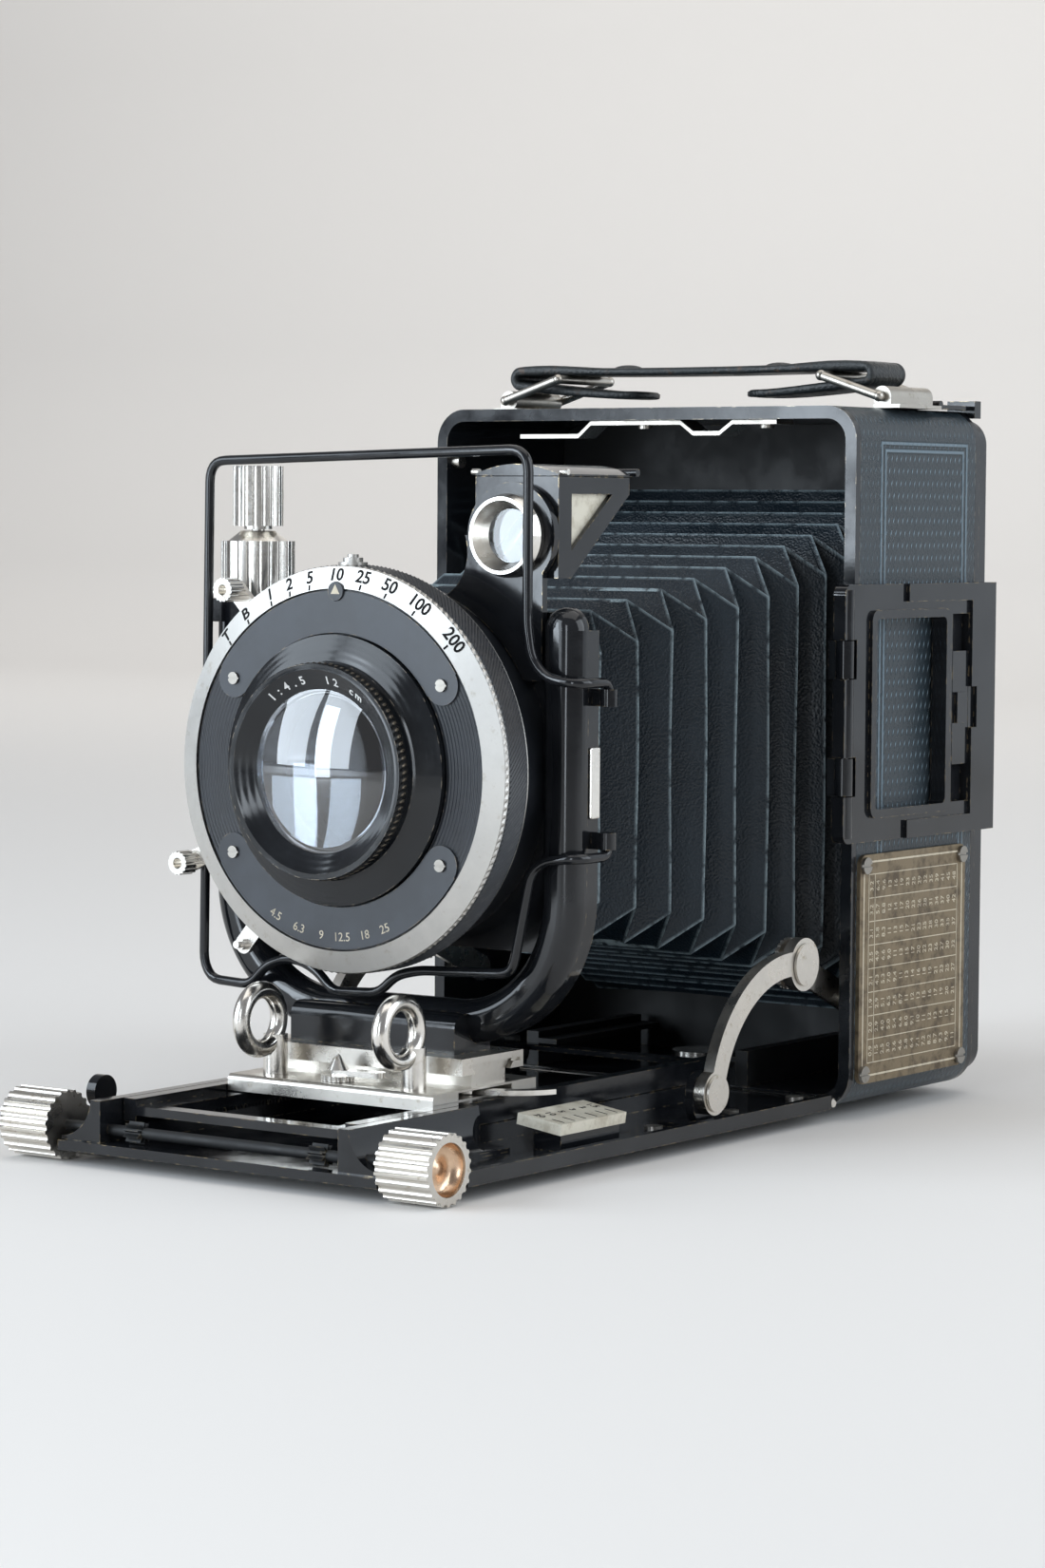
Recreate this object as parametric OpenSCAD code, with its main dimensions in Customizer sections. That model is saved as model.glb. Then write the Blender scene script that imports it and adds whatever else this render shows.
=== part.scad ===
// Folding plate camera with a pleated bellows, a rim-set shutter and rack focusing.
// Forward distances are counted from the plane of the body's front rim towards the lens.

/* [Body] */
// Width of the body over its leather
body_w = 98; // [94:1:110]
// Height of the body
body_h = 133; // [128:1:145]
// Depth of the body from front rim to back rim
body_d = 47; // [45:1:56]
// Wall of the metal body
wall = 2.4; // [2:0.1:3]
// Outer corner radius of the body
corner_r = 6.5; // [5:0.5:10]
// Thickness of the leather
leather_t = 0.6; // [0.4:0.1:1]
// Depth of the bare metal rim at the front and the back
rim_d = 1.6; // [1:0.1:3]
// Radius of the threaded tripod bore
bush_bore_r = 4; // [3:0.1:4.5]

/* [Bed] */
// Length of the drop bed
bed_len = 129; // [126:1:135]
// Thickness of the bed plate
bed_t = 1.8; // [1.4:0.1:2.2]
// Diameter of the focusing knobs
knob_d = 12.4; // [10:0.2:14]
// Length of a focusing knob
knob_len = 11; // [8:0.5:13]
// Diameter of the focusing axle
axle_d = 2; // [1.6:0.1:2.2]
// Height of the focusing axle
axle_z = 3.9; // [3.8:0.1:4.4]

/* [Track] */
// Thickness of the track's side walls
rail_w = 2.8; // [2:0.1:3]
// Tooth pitch of the focusing racks
rack_pitch = 1; // [0.9:0.05:1.1]
// Teeth on a pinion
pinion_teeth = 10; // [9:1:11]

/* [Standard] */
// Width of the sliding base
base_w = 46.2; // [42:0.2:48]
// Depth of the sliding base
base_d = 31; // [28:0.5:33]
// Forward distance of the base's front edge
base_a = 97; // [95:0.5:100]
// Width of the yoke over its arms
yoke_w = 82; // [80:0.5:83]
// Width of one yoke arm
arm_w = 8; // [6:0.5:9]
// Forward distance of the yoke's back face
yoke_a = 76.2; // [76:0.1:77]
// Height of the arms' shoulders
arm_top = 92; // [90:0.5:94]
// Outer diameter of a grip ring
grip_d = 13.8; // [12:0.2:14.4]

/* [Lens] */
// Height of the lens axis
lens_z = 66.8; // [66:0.2:68]
// Radius of the speed ring
ring_r = 36; // [35:0.2:36.6]
// Radius of the shutter case inside the ring
case_r = 32; // [31:0.2:32.6]
// Radius of the lens's front rim
rim_r = 19; // [17.6:0.2:20]
// Radius of the front glass
glass_r = 13.3; // [12:0.1:14]

/* [Finders] */
// Height of the reflecting finder's axis
finder_z = 108.4; // [107.6:0.2:109]
// Distance of the reflecting finder's axis from the middle
finder_x = 25.8; // [25:0.2:26.4]
// Diameter of the wire frame
wire_d = 1.8; // [1.4:0.1:2]
// Length of the folding rear sight
sight_l = 56; // [50:1:58]
// Height of the folding rear sight
sight_h = 48.5; // [44:0.5:52]

/* [Bellows] */
// Count of pleats
pleats = 12; // [8:1:14]
// Depth of a pleat
pleat_d = 6.5; // [3:0.5:7]
// Thickness of the bellows leather
bellows_t = 0.8; // [0.6:0.1:1.2]

/* [Hidden] */
$fn = 64;

black = "#17181a";
nickel = "#c9c3b6";
hide = "#3a474d";
glass = "#9fb6c4";

// Clearances: a running shaft, a sliding face, and two bodies that never touch
run = 0.05;
slip = 0.2;
clear = 0.3;

// Body
front_y = -body_d / 2;
mid_z = body_h / 2;
inner_w = body_w - 2 * wall;
inner_h = body_h - 2 * wall;
side_x = body_w / 2;
bush_r = bush_bore_r + 1.6;
bush_len = 5.2;
bush_flange = 0.8;
side_bush_y = body_d / 2 + 10;
frame_y = body_d - 6;
frame_t = 2;
frame_band = 1.2;

// Bed
bed_w = inner_w - 2 * clear;
axle_r = axle_d / 2;
axle_a = bed_len - 4;
hinge_r = 0.9;
hinge_z = 1.2;
guide_w = 9;
guide_in = base_w / 2 + slip + rail_w + clear;
guide_out = guide_in + guide_w;
guide_back = 91;
knob_x = guide_out + 1;

// Track, which runs on two ribs of the bed and clears the axle
rail_in = base_w / 2 + slip;
rail_out = rail_in + rail_w;
rail_bottom = axle_z + axle_r + slip;
ledge_w = 4.4;
ledge_t = 1;
pinion_r = rack_pitch * pinion_teeth / (2 * PI);
rack_z = axle_z + pinion_r;
rack_tip = 0.3;
rack_root = 0.45;
rack_w = 3;
ledge_z = rack_z + rack_root + 1;
ledge_top = ledge_z + ledge_t;
rail_top = ledge_top + 1.3;
track_front = axle_a - 3;
track_back = 6;
bar_l = 3.5;

// Standard
base_z = ledge_top + slip;
base_t = 3;
base_top = base_z + base_t;
block_a = 70;
block_d = 18.4;
block_z = base_top + 2.4;
block_t = 3;
tail_a = block_a + block_d / 2;
tail_h = 4;
tail_w = 10;
foot_z = block_z + block_t;
yoke_x = yoke_w / 2;
arm_d = 4.3;
arm_in = yoke_x - arm_w;
bend_r = 27;
bend_x = yoke_x - bend_r;
bend_z = foot_z + 1 + bend_r;
guide_t = 1.8;
guide_d = 3.7;
lip_t = 1.1;
panel_t = 1.8;
panel_a = yoke_a - 0.3 - panel_t;
panel_x = yoke_x - guide_t - 0.4 - clear;
panel_z = lens_z - 32;
panel_top = arm_top + 3;
rise_x = -(arm_in + 1.8);
rise_a = yoke_a - 1.8;
screw_r = 1.2;
cap_h = 4.3;
cap_z = arm_top + cap_h;
notch_x = arm_in - 1.1;
nut_z = 42;
nut_h = 16;

// Shutter and lens
case_a = panel_a + panel_t;
case_back_r = arm_in - clear;
slot_a = case_a + 9.4;
slot_d = 1.7;
lever_t = 1.1;
ring_a = slot_a + slot_d;
ring_front = 94;
ring_cone = 1.3;
face_a = 94.4;
lens_flange_r = 24;
lens_front = 101.8;
cell_bore = 15.5;
hub_r = 30;

// Finder
neck_a = yoke_a + 1;
neck_t = 1.5;
finder_w = 18;
finder_back = 22;
finder_low = 7.4;
finder_high = 10.4;
finder_t = 0.8;
finder_hole = 6.3;
finder_top_z = finder_z + finder_high;
finder_front = neck_a - clear;

// Wire frame
wire_r = wire_d / 2;
wire_a = 83;
wire_hinge_x = yoke_x + 2.8;
wire_hinge_a = yoke_a - 2.2;
wire_top_z = 83;
wire_low_z = 52.5;
hinge_barrel_r = 1.5;

// Rear sight
sight_t = 2.6;
sight_x = side_x + 0.5;
sight_z = 51;
sight_axis_a = 6.4;
sight_axis_x = sight_x + 1.4;
sight_front_a = 8.4;
sight_pin_r = 0.8;
sight_knuckle_r = 1.7;
slider_y = 35;

// Handle and back
lug_x = side_x - 5;
lug_y = body_d / 2 + 2;
lug_w = 16;
lug_r = 2;
lug_z = body_h + lug_r + 0.2;
ring_wire = 0.9;
loop_x = side_x - 18;
loop_z = body_h + 6.35;
strap_x = -2;
strap_half = side_x - 6;
strap_w = 13;
strap_t = 1.6;
strap_bend = 2.3;
strap_top = body_h + 9;
strap_tab = 12;
back_gap = 1.6;
back_w = body_w - 2 * back_gap;
back_h = body_h - 2 * back_gap;
back_t = 5.5;
view_w = 72;
view_h = 96;
lid_t = 2.6;
lid_r = 1.6;
lid_y = body_d + back_t + 0.4;
lid_axis_z = mid_z - back_h / 2 + 4;
lid_axis_y = lid_y + lid_t / 2;

// Bellows
bellows_front = panel_a - 0.3;
bellows_back = run - frame_y;
bellows_w = [34.5, side_x - 5.5];
bellows_h = [28, mid_z - 14.5];
bellows_z = mid_z - 1.1;
bellows_lead = 5;

// Moves children so that forward distances count from the front rim
module at_front() translate([0, front_y, 0]) children();

// Moves children to the lens axis
module at_lens() at_front() translate([0, 0, lens_z]) children();

// Outline in x and z, swept between two forward distances
module y_slab(a0, a1) translate([0, -a0, 0]) rotate([90, 0, 0]) linear_extrude(a1 - a0) children();

// Outline in y and z, swept between two places in x
module x_slab(x0, x1) translate([x0, 0, 0]) rotate([90, 0, 90]) linear_extrude(x1 - x0) children();

// Outline in x and y, swept between two heights
module z_slab(z0, z1) translate([0, 0, z0]) linear_extrude(z1 - z0) children();

module y_rod(r, a0, a1) translate([0, -a0, 0]) rotate([90, 0, 0]) cylinder(r = r, h = a1 - a0);
module x_rod(r, x0, x1) translate([x0, 0, 0]) rotate([0, 90, 0]) cylinder(r = r, h = x1 - x0);
module z_rod(r, z0, z1) translate([0, 0, z0]) cylinder(r = r, h = z1 - z0);

// Profile of radius and forward distance, turned about the lens axis
module y_lathe(turn = 360) rotate([90, 0, 0]) rotate_extrude(angle = turn) children();

// Children and their mirror image on the other side
module pair() {
    children();
    mirror([1, 0, 0]) children();
}

module box(low, high) translate(low) cube(high - low);

module rounded(w, h, r) {
    square([w - 2 * r, h], center = true);
    square([w, h - 2 * r], center = true);
    for (x = [-1, 1], y = [-1, 1]) translate([x * (w / 2 - r), y * (h / 2 - r)]) circle(r);
}

// Flat bar with slightly full round ends between two points
module link(p, q, r) {
    d = q - p;
    flat = 0.98 * r;
    translate(p) circle(r);
    translate(q) circle(r);
    translate(p) rotate(atan2(d.y, d.x)) translate([0, -flat]) square([norm(d), 2 * flat]);
}

// Round bar between two points of space
module bar(p, q, r) {
    d = q - p;
    translate(p) rotate([0, acos(d.z / norm(d)), atan2(d.y, d.x)]) cylinder(r = r, h = norm(d));
}

// Round wire through a row of points, with a full round at each bend
module wire(points, r) {
    for (i = [0:len(points) - 2]) bar(points[i], points[i + 1], r);
    for (i = [1:len(points) - 2]) translate(points[i]) sphere(r * 1.15);
}

// Round outline with flutes cut into its edge
module fluted(r, flutes, flute_r) difference() {
    circle(r);
    for (i = [0:flutes - 1]) rotate(i * 360 / flutes) translate([r + flute_r * 0.35, 0]) circle(flute_r);
}

// Ring sector between two radii and two angles
module sector(r0, r1, from, to) rotate(from) intersection() {
    difference() {
        circle(r1);
        circle(r0);
    }
    polygon(concat([[0, 0]], [for (t = [0:3]) 2 * r1 * [cos((to - from) * t / 3), sin((to - from) * t / 3)]]));
}

// Slotted screw head facing forward at a place in x and z
module slotted_head(r, h, slot) difference() {
    y_rod(r, 0, h);
    box([-r, -h - 1, -slot / 2], [r, -h * 0.45, slot / 2]);
}

// Body

module body_outline(inset) translate([0, mid_z]) rounded(body_w - 2 * inset, body_h - 2 * inset, corner_r - inset);

module bush_holes(gap) {
    translate([0, body_d / 2, 0]) z_rod(bush_r + gap, -1, wall + 1);
    translate([0, side_bush_y, mid_z]) x_rod(bush_r + gap, -side_x - 1, -side_x + wall + 1);
}

module body_shell() color(black) at_front() difference() {
    union() {
        y_slab(-rim_d, 0) body_outline(0);
        y_slab(-body_d, rim_d - body_d) body_outline(0);
        y_slab(rim_d - body_d, -rim_d) body_outline(leather_t + run);
    }
    y_slab(-body_d - 1, 1) body_outline(wall);
    bush_holes(run);
}

module leather_cover() color(hide) at_front() difference() {
    y_slab(rim_d + run - body_d, -rim_d - run) body_outline(0);
    y_slab(-body_d, 0) body_outline(leather_t);
    bush_holes(run);
}

module bush() difference() {
    union() {
        z_rod(bush_r, 0, bush_len);
        z_rod(bush_r + 1.4, wall + run, wall + run + bush_flange);
    }
    z_rod(bush_bore_r, -1, bush_len - 0.9);
}

module tripod_bushes() color(nickel) at_front() {
    translate([0, body_d / 2, 0]) bush();
    translate([-side_x, side_bush_y, mid_z]) rotate([0, 90, 0]) bush();
}

module bellows_frame() color(black) at_front() difference() {
    y_slab(-frame_y - frame_t, -frame_y) body_outline(wall + run);
    y_slab(-frame_y - frame_t - 1, 1 - frame_y) translate([0, bellows_z])
        square(2 * [bellows_w[1] - pleat_d - frame_band, bellows_h[1] - frame_band], center = true);
}

// Channel rails on the floor of the body, in line with the track
module body_rails() color(black) at_front() pair() difference() {
    box([rail_in - ledge_w, clear, wall + run], [rail_out, frame_y - 4, rail_top]);
    box([rail_in - ledge_w - 1, -1, ledge_top], [rail_in, frame_y, rail_top + 1]);
    box([rail_in - ledge_w - 1, -1, wall], [rail_in, frame_y, ledge_z]);
}

// Flat spring under the roof that holds the closed bed, and its stop stud on the side wall
module bed_catch() color(nickel) at_front() {
    roof = body_h - wall;
    spring = [[-30, -3.4], [-16, -3.4], [-13, -0.9], [8, -0.9], [11, -3], [17, -3], [20, -0.9], [30, -0.9]];
    y_slab(-8, -2) polygon(concat(
        [for (p = spring) [p.x, roof + p.y]],
        [for (i = [len(spring) - 1:-1:0]) [spring[i].x, roof + spring[i].y + 0.8]]
    ));
    translate([0, 5, 0]) for (x = [-2, 26]) translate([x, 0, 0]) z_rod(1.4, roof - 1.6, roof - run);
    translate([0, 2.4, roof - 8]) x_rod(1.3, -inner_w / 2 + run, -inner_w / 2 + 2);
}

// Bed, its runner ribs, brackets and struts

module bed_plate() color(black) at_front() {
    notch = knob_d / 2 + 0.6;
    rim_h = 0.9;
    rim_w = 1.4;
    difference() {
        union() {
            z_slab(0, bed_t) difference() {
                translate([-bed_w / 2, -bed_len]) square([bed_w, bed_len - 2 * hinge_r]);
                pair() translate([guide_out, -bed_len - 1]) square([bed_w, 1 + bed_len - axle_a + notch]);
            }
            pair() box([bed_w / 2 - rim_w, notch - axle_a, bed_t], [bed_w / 2, -2 * hinge_r, bed_t + rim_h]);
            pair() box([rail_in, -track_front, bed_t], [rail_out, -track_back, rail_bottom - slip]);
        }
        x_slab(-bed_w, bed_w) translate([-hinge_r, hinge_z]) circle(hinge_r + 2 * run);
    }
}

module bed_hinge_pin() color(nickel) at_front() translate([0, -hinge_r, hinge_z]) x_rod(hinge_r, -bed_w / 2, bed_w / 2);

// Pressed guide on each side of the track, with a hollow outer flank, that carries the axle
module track_guides() color(black) at_front() pair() difference() {
    flank_r = 7.2;
    y_slab(guide_back, bed_len - 1) difference() {
        translate([guide_in, bed_t]) square([guide_w, rail_top - bed_t]);
        translate([guide_out + 0.4, rail_top + 0.4]) circle(flank_r);
    }
    translate([0, -axle_a, axle_z]) x_rod(axle_r + run, 0, guide_out + 1);
    translate([guide_out, -guide_back, 0]) z_rod(guide_w - 2.5, bed_t + 0.8, rail_top + 1);
}

strut_x = inner_w / 2 - 0.6;
strut_t = 2.2;
strut_low = [-41.7, 7.4];
strut_high = [-11.4, 28.4];
strut_mid = [-15.6, 2.8];
strut_r = 26;
strut_w = 4.5;
disc_low = 4;
disc_high = 5;
link_t = 1;
link_end = [8, 20];

scale_a = [68, 88];
scale_x = [bed_w / 2 - 11.7, bed_w / 2 - 2.3];
scale_z = 6.2;
scale_t = 2;
scale_tilt = 8;

module bed_brackets() color(black) at_front() {
    strut_foot_x = strut_x - strut_t - 0.1;
    pair() x_slab(strut_foot_x - 1.8, strut_foot_x) link([strut_low.x, bed_t + disc_low], strut_low, disc_low);
    pair() box([strut_foot_x - 5, strut_low.x - 8, bed_t], [strut_foot_x, strut_low.x + 8, bed_t + 0.8]);
    box([scale_x[0] + 2.6, -scale_a[1] + 1.5, bed_t], [scale_x[1] - 1, -scale_a[0] - 0.5, scale_z - 1.4]);
}

module strut_arms() color(nickel) at_front() pair() {
    from = atan2(strut_high.y - strut_mid.y, strut_high.x - strut_mid.x);
    to = atan2(strut_low.y - strut_mid.y, strut_low.x - strut_mid.x);
    x_slab(strut_x - strut_t, strut_x) {
        translate(strut_mid) sector(strut_r - strut_w / 2, strut_r + strut_w / 2, from, to);
        translate(strut_low) circle(disc_low);
        translate(strut_high) circle(disc_high);
    }
    inner = strut_x - strut_t - 0.1;
    x_slab(inner - link_t, inner) link(strut_high, link_end, 2.6);
}

// Pivot studs of the struts, their knurled nuts, and the oval rivets on the bed
module strut_rivets() color(nickel) at_front() {
    cap_x = strut_x + 0.1;
    nut_x = strut_x - strut_t - link_t - 0.2;
    pair() translate([0, strut_low.x, strut_low.y]) x_rod(disc_low - 0.6, cap_x, cap_x + 0.5);
    pair() translate([0, strut_high.x, strut_high.y]) {
        x_rod(disc_high - 1, cap_x, cap_x + 0.5);
        x_slab(nut_x - 0.8, nut_x) fluted(disc_high - 0.2, 24, 0.4);
    }
    pair() translate([0, link_end.x, link_end.y]) x_rod(1.6, strut_x - strut_t - 0.1, inner_w / 2 - run);
    for (a = [54, 28.6, 6]) translate([bed_w / 2 - 5.7, -a, 0]) z_rod(1.7, bed_t, bed_t + 0.7);
}

// Small sloping plate that carries the distance marks
module distance_scale() color("#d9d2b8") at_front() translate([scale_x[0], 0, scale_z]) rotate([0, scale_tilt, 0])
    y_slab(scale_a[0], scale_a[1]) square([scale_x[1] - scale_x[0], scale_t]);

// Handle

module lug() {
    box([-lug_r - 2, -lug_w / 2, body_h], [lug_r, lug_w / 2, body_h + 0.7]);
    translate([0, 0, lug_z]) difference() {
        union() {
            y_rod(lug_r, -lug_w / 2, lug_w / 2);
            box([-lug_r, -lug_w / 2, -lug_r - 0.2], [0, lug_w / 2, 0]);
        }
        y_rod(ring_wire + run, -lug_w, lug_w);
    }
}

module strap_lugs() color(nickel) at_front() translate([0, lug_y, 0]) {
    translate([lug_x, 0, 0]) mirror([1, 0, 0]) lug();
    translate([-lug_x, 0, 0]) lug();
}

module strap_rings() color(nickel) at_front() translate([0, lug_y, 0]) pair() {
    half = lug_w / 2 + ring_wire + clear;
    wire([
        [lug_x, half, lug_z], [lug_x, -half, lug_z], [loop_x, -half, loop_z], [loop_x, half, loop_z],
        [lug_x, half, lug_z], [lug_x, 0, lug_z]
    ], ring_wire);
}

// One end of the strap: the top band turns down and its tab runs back beneath
module strap_end() {
    bend_x = strap_half - strap_bend;
    bend_z = strap_top - strap_bend;
    low = bend_z - strap_bend;
    translate([0, strap_top - strap_t]) square([bend_x, strap_t]);
    translate([bend_x, bend_z]) sector(strap_bend - strap_t, strap_bend, -90, 90);
    polygon([
        [bend_x, low], [bend_x, low + strap_t], [strap_tab + 8, low + strap_t - 2],
        [strap_tab, low + strap_t - 2.4], [strap_tab, low - 1.9], [strap_tab + 8, low - 2]
    ]);
}

module strap_handle() color("#22282b") at_front() translate([strap_x, lug_y, 0]) y_slab(-strap_w / 2, strap_w / 2) {
    strap_end();
    mirror([1, 0]) strap_end();
}

// Number table on the right side

table_y = [2, 42];
table_h = [4.5, 48.2];
table_t = 0.8;
table_screw = 1.6;

module table_corners() for (y = [table_y[0] + 1.7, table_y[1] - 1.7], z = [table_h[0] + 1.9, table_h[1] - 2])
    translate([0, y, z]) children();

module table_plate() color("#8a744a") at_front() difference() {
    x_slab(side_x, side_x + table_t) translate([(table_y[0] + table_y[1]) / 2, (table_h[0] + table_h[1]) / 2])
        rounded(table_y[1] - table_y[0], table_h[1] - table_h[0], 2);
    table_corners() x_rod(0.9, side_x - 1, side_x + 2);
}

module table_screws() color(nickel) at_front() table_corners() translate([side_x + table_t, 0, 0]) rotate([0, 0, 90])
    slotted_head(table_screw, 0.7, 0.5);

// Folding rear sight

module sight_hinge() color(black) at_front() {
    ears = [[sight_z + 9, sight_z + 16], [sight_z + 31, sight_z + 38]];
    leaf_x = side_x - 1.4;
    difference() {
        union() for (e = ears) {
            translate([sight_axis_x, -sight_axis_a, 0]) z_rod(sight_knuckle_r, e[0], e[1]);
            box([leaf_x, -sight_axis_a - 0.6, e[0]], [sight_axis_x, 0.6 - sight_axis_a, e[1]]);
            box([leaf_x, -sight_axis_a, e[0]], [leaf_x + 1.2, 0, e[1]]);
        }
        translate([sight_axis_x, -sight_axis_a, 0]) z_rod(sight_pin_r + run, sight_z, sight_z + sight_h);
    }
    translate([sight_axis_x, -sight_axis_a, 0]) z_rod(sight_pin_r, ears[0][0], ears[1][1]);
}

// Frame with a stepped window, a slot for the slider and the hinge knuckle on its front edge
module rear_sight() color(black) at_front() {
    window_y = [2, 28.4];
    window_z = [sight_z + 6, sight_z + 42];
    lip = 1.6;
    leaf_y = 14;
    ears = [[sight_z + 9 - slip, sight_z + 16 + slip], [sight_z + 31 - slip, sight_z + 38 + slip]];
    difference() {
        union() {
            x_slab(sight_x, sight_x + sight_t) translate([sight_l / 2 - sight_front_a, sight_z + sight_h / 2])
                rounded(sight_l, sight_h, 2);
            x_slab(sight_x, sight_x + sight_t + 0.7)
                translate([(window_y[0] + window_y[1]) / 2, (window_z[0] + window_z[1]) / 2])
                    rounded(window_y[1] - window_y[0] + 2 * lip, window_z[1] - window_z[0] + 2 * lip, 2);
            x_slab(sight_x, sight_x + sight_t + 0.7) difference() {
                translate([leaf_y, sight_z]) square([sight_l - sight_front_a - leaf_y, sight_h]);
                translate([leaf_y - 1, sight_z + 3.4]) square([slider_y + 4.4 - leaf_y, sight_h - 6.8]);
                translate([slider_y, sight_z + sight_h / 2 - 4]) square([5.4, 8]);
            }
            translate([sight_axis_x, -sight_axis_a, 0]) z_rod(sight_knuckle_r, sight_z + 1, sight_z + sight_h - 1);
        }
        x_slab(sight_x - 1, sight_x + 9) translate([(window_y[0] + window_y[1]) / 2, (window_z[0] + window_z[1]) / 2])
            rounded(window_y[1] - window_y[0], window_z[1] - window_z[0], 1.2);
        box([sight_x + 1, slider_y - 3 - slip, sight_z + 6], [sight_x + 9, slider_y + 3 + slip, sight_z + sight_h - 6]);
        translate([sight_axis_x, -sight_axis_a, 0]) z_rod(sight_pin_r + run, sight_z, sight_z + sight_h);
        for (e = ears) box([sight_axis_x - sight_knuckle_r - 1, -sight_front_a - 1, e[0]],
            [sight_x + 9, -sight_axis_a + sight_knuckle_r + slip + 0.4, e[1]]);
    }
}

module sight_slider() color(black) at_front() {
    mid = sight_z + sight_h / 2;
    box([sight_x + 1 + slip, slider_y - 3, mid - 11], [sight_x + sight_t, slider_y + 3, mid + 11]);
    box([sight_x + sight_t, slider_y - 2, mid - 3], [sight_x + sight_t + 0.6, slider_y + 2, mid + 3]);
}

// Back with the focusing screen and its folding hood

module back_frame() color(black) at_front() {
    catch_x = view_w / 2 + 4;
    difference() {
        y_slab(-body_d - back_t, -body_d) translate([0, mid_z]) rounded(back_w, back_h, 5);
        y_slab(-body_d - back_t - 1, 1 - body_d) translate([0, mid_z]) square([view_w, view_h], center = true);
        y_slab(-body_d - 3.2, -body_d - 1) translate([0, mid_z]) square([view_w + 6, view_h + 6], center = true);
    }
    pair() translate([catch_x - 8, lid_axis_y, lid_axis_z]) difference() {
        union() {
            x_rod(lid_r, -3, 3);
            box([-3, -lid_axis_y + body_d + back_t, -lid_r], [3, 0, 0]);
        }
        x_rod(0.85, -4, 4);
    }
}

module ground_glass() color(glass) at_front()
    y_slab(-body_d - 3.1, -body_d - 1.1) translate([0, mid_z]) square([view_w + 5.6, view_h + 5.6], center = true);

module hood_lid() color(hide) at_front() {
    lid_top = mid_z + view_h / 2 + 6;
    gap_x = view_w / 2 - 4;
    difference() {
        union() {
            y_slab(-lid_y - lid_t, -lid_y) translate([0, (lid_axis_z + 3 + lid_top) / 2])
                rounded(view_w + 8, lid_top - lid_axis_z - 3, 4);
            translate([0, lid_axis_y, lid_axis_z]) x_rod(lid_r, -gap_x + 3 + slip, gap_x - 3 - slip);
            box([-gap_x + 4, lid_y, lid_axis_z], [gap_x - 4, lid_y + lid_t, lid_axis_z + 5]);
        }
        pair() translate([gap_x, lid_axis_y, lid_axis_z]) x_rod(lid_r + clear, -3 - slip, 3 + slip);
    }
    translate([0, lid_axis_y, lid_axis_z]) x_rod(0.8, -gap_x - 3, gap_x + 3);
}

// Spring latch that holds the back at the top
module back_latch() color(black) at_front() {
    latch_x = [side_x - 7.8, side_x - 1.6];
    leaf_y = lug_y + lug_w / 2 + 2.6;
    translate([0, leaf_y, body_h + slip + 0.8]) x_rod(0.8, latch_x[0] + 1, latch_x[1] - 1);
    box([latch_x[0] + 1, leaf_y, body_h + slip], [latch_x[1] - 1, body_d + 0.6, body_h + 1]);
    box([latch_x[0], body_d + 0.6, body_h - 1.4], [latch_x[1], body_d + 3, body_h + 2]);
}

// Bellows: square rings, with a ridge on the sides wherever the top and floor have a valley

function ring_at(i) =
    let (t = i / (2 * pleats), out = i % 2 == 1, reach = bellows_front - bellows_back)
    let (w = bellows_w[0] + (bellows_w[1] - bellows_w[0]) * t * t)
    let (h = bellows_h[0] + (bellows_h[1] - bellows_h[0]) * t * (0.85 + 0.15 * t))
    let (lead = i == 0 ? 0 : bellows_lead * (1 - t))
    [w - (out ? 0 : pleat_d), h - (out ? pleat_d : 0), lead + reach * t * (1.3 - 0.3 * t) - bellows_front];

function ring_points(g, t) =
    [for (p = [[1, 1], [-1, 1], [-1, -1], [1, -1]]) [p.x * (g[0] - t), g[2], bellows_z + p.y * (g[1] - t)]];

module bellows() color(hide) at_front() {
    count = 2 * pleats + 1;
    inner = 4 * count;
    last = inner - 4;
    skins = [for (t = [0, bellows_t]) for (i = [0:count - 1]) ring_points(ring_at(i), t)];
    side = [for (i = [0:count - 2]) for (k = [0:3]) [4 * i + k, 4 * i + (k + 1) % 4, 4 * i + 4 + (k + 1) % 4, 4 * i + 4 + k]];
    quads = concat(
        side,
        [for (q = side) [for (j = [3:-1:0]) q[j] + inner]],
        [for (k = [0:3]) [(k + 1) % 4, k, inner + k, inner + (k + 1) % 4]],
        [for (k = [0:3]) [last + k, last + (k + 1) % 4, inner + last + (k + 1) % 4, inner + last + k]]
    );
    polyhedron([for (s = skins) each s], [for (q = quads) each [[q[0], q[1], q[2]], [q[0], q[2], q[3]]]]);
}

// Focusing track, with a rack under each ledge

module rack_outline() {
    teeth = floor((track_front - track_back - 8) / rack_pitch);
    start = -track_front + 4;
    polygon(concat(
        [[start, ledge_z], [start, rack_z + rack_root]],
        [for (i = [0:teeth - 1]) let (y = start + (i + 0.5) * rack_pitch + rack_phase)
            each [[y - 0.3, rack_z + rack_root], [y - 0.12, rack_z - rack_tip], [y + 0.12, rack_z - rack_tip],
                [y + 0.3, rack_z + rack_root]]],
        [[start + (teeth + 1) * rack_pitch, rack_z + rack_root], [start + (teeth + 1) * rack_pitch, ledge_z]]
    ));
}

// Shifts the teeth so that a gap stands over the axle at rest
rack_phase = rack_pitch - ((axle_a - track_front + 4) % rack_pitch);

module focus_track() color(black) at_front() {
    pair() {
        box([rail_in, -track_front, rail_bottom], [rail_out, -track_back, rail_top]);
        box([rail_in - ledge_w, -track_front, ledge_z], [rail_in, -track_back, ledge_top]);
        x_slab(rail_in - ledge_w, rail_in - ledge_w + rack_w) rack_outline();
    }
    box([-rail_in, -track_front, ledge_z - 0.6], [rail_in, bar_l - track_front, ledge_top]);
    box([-rail_in, -track_back - bar_l, ledge_z], [rail_in, -track_back, ledge_top]);
}

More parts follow.
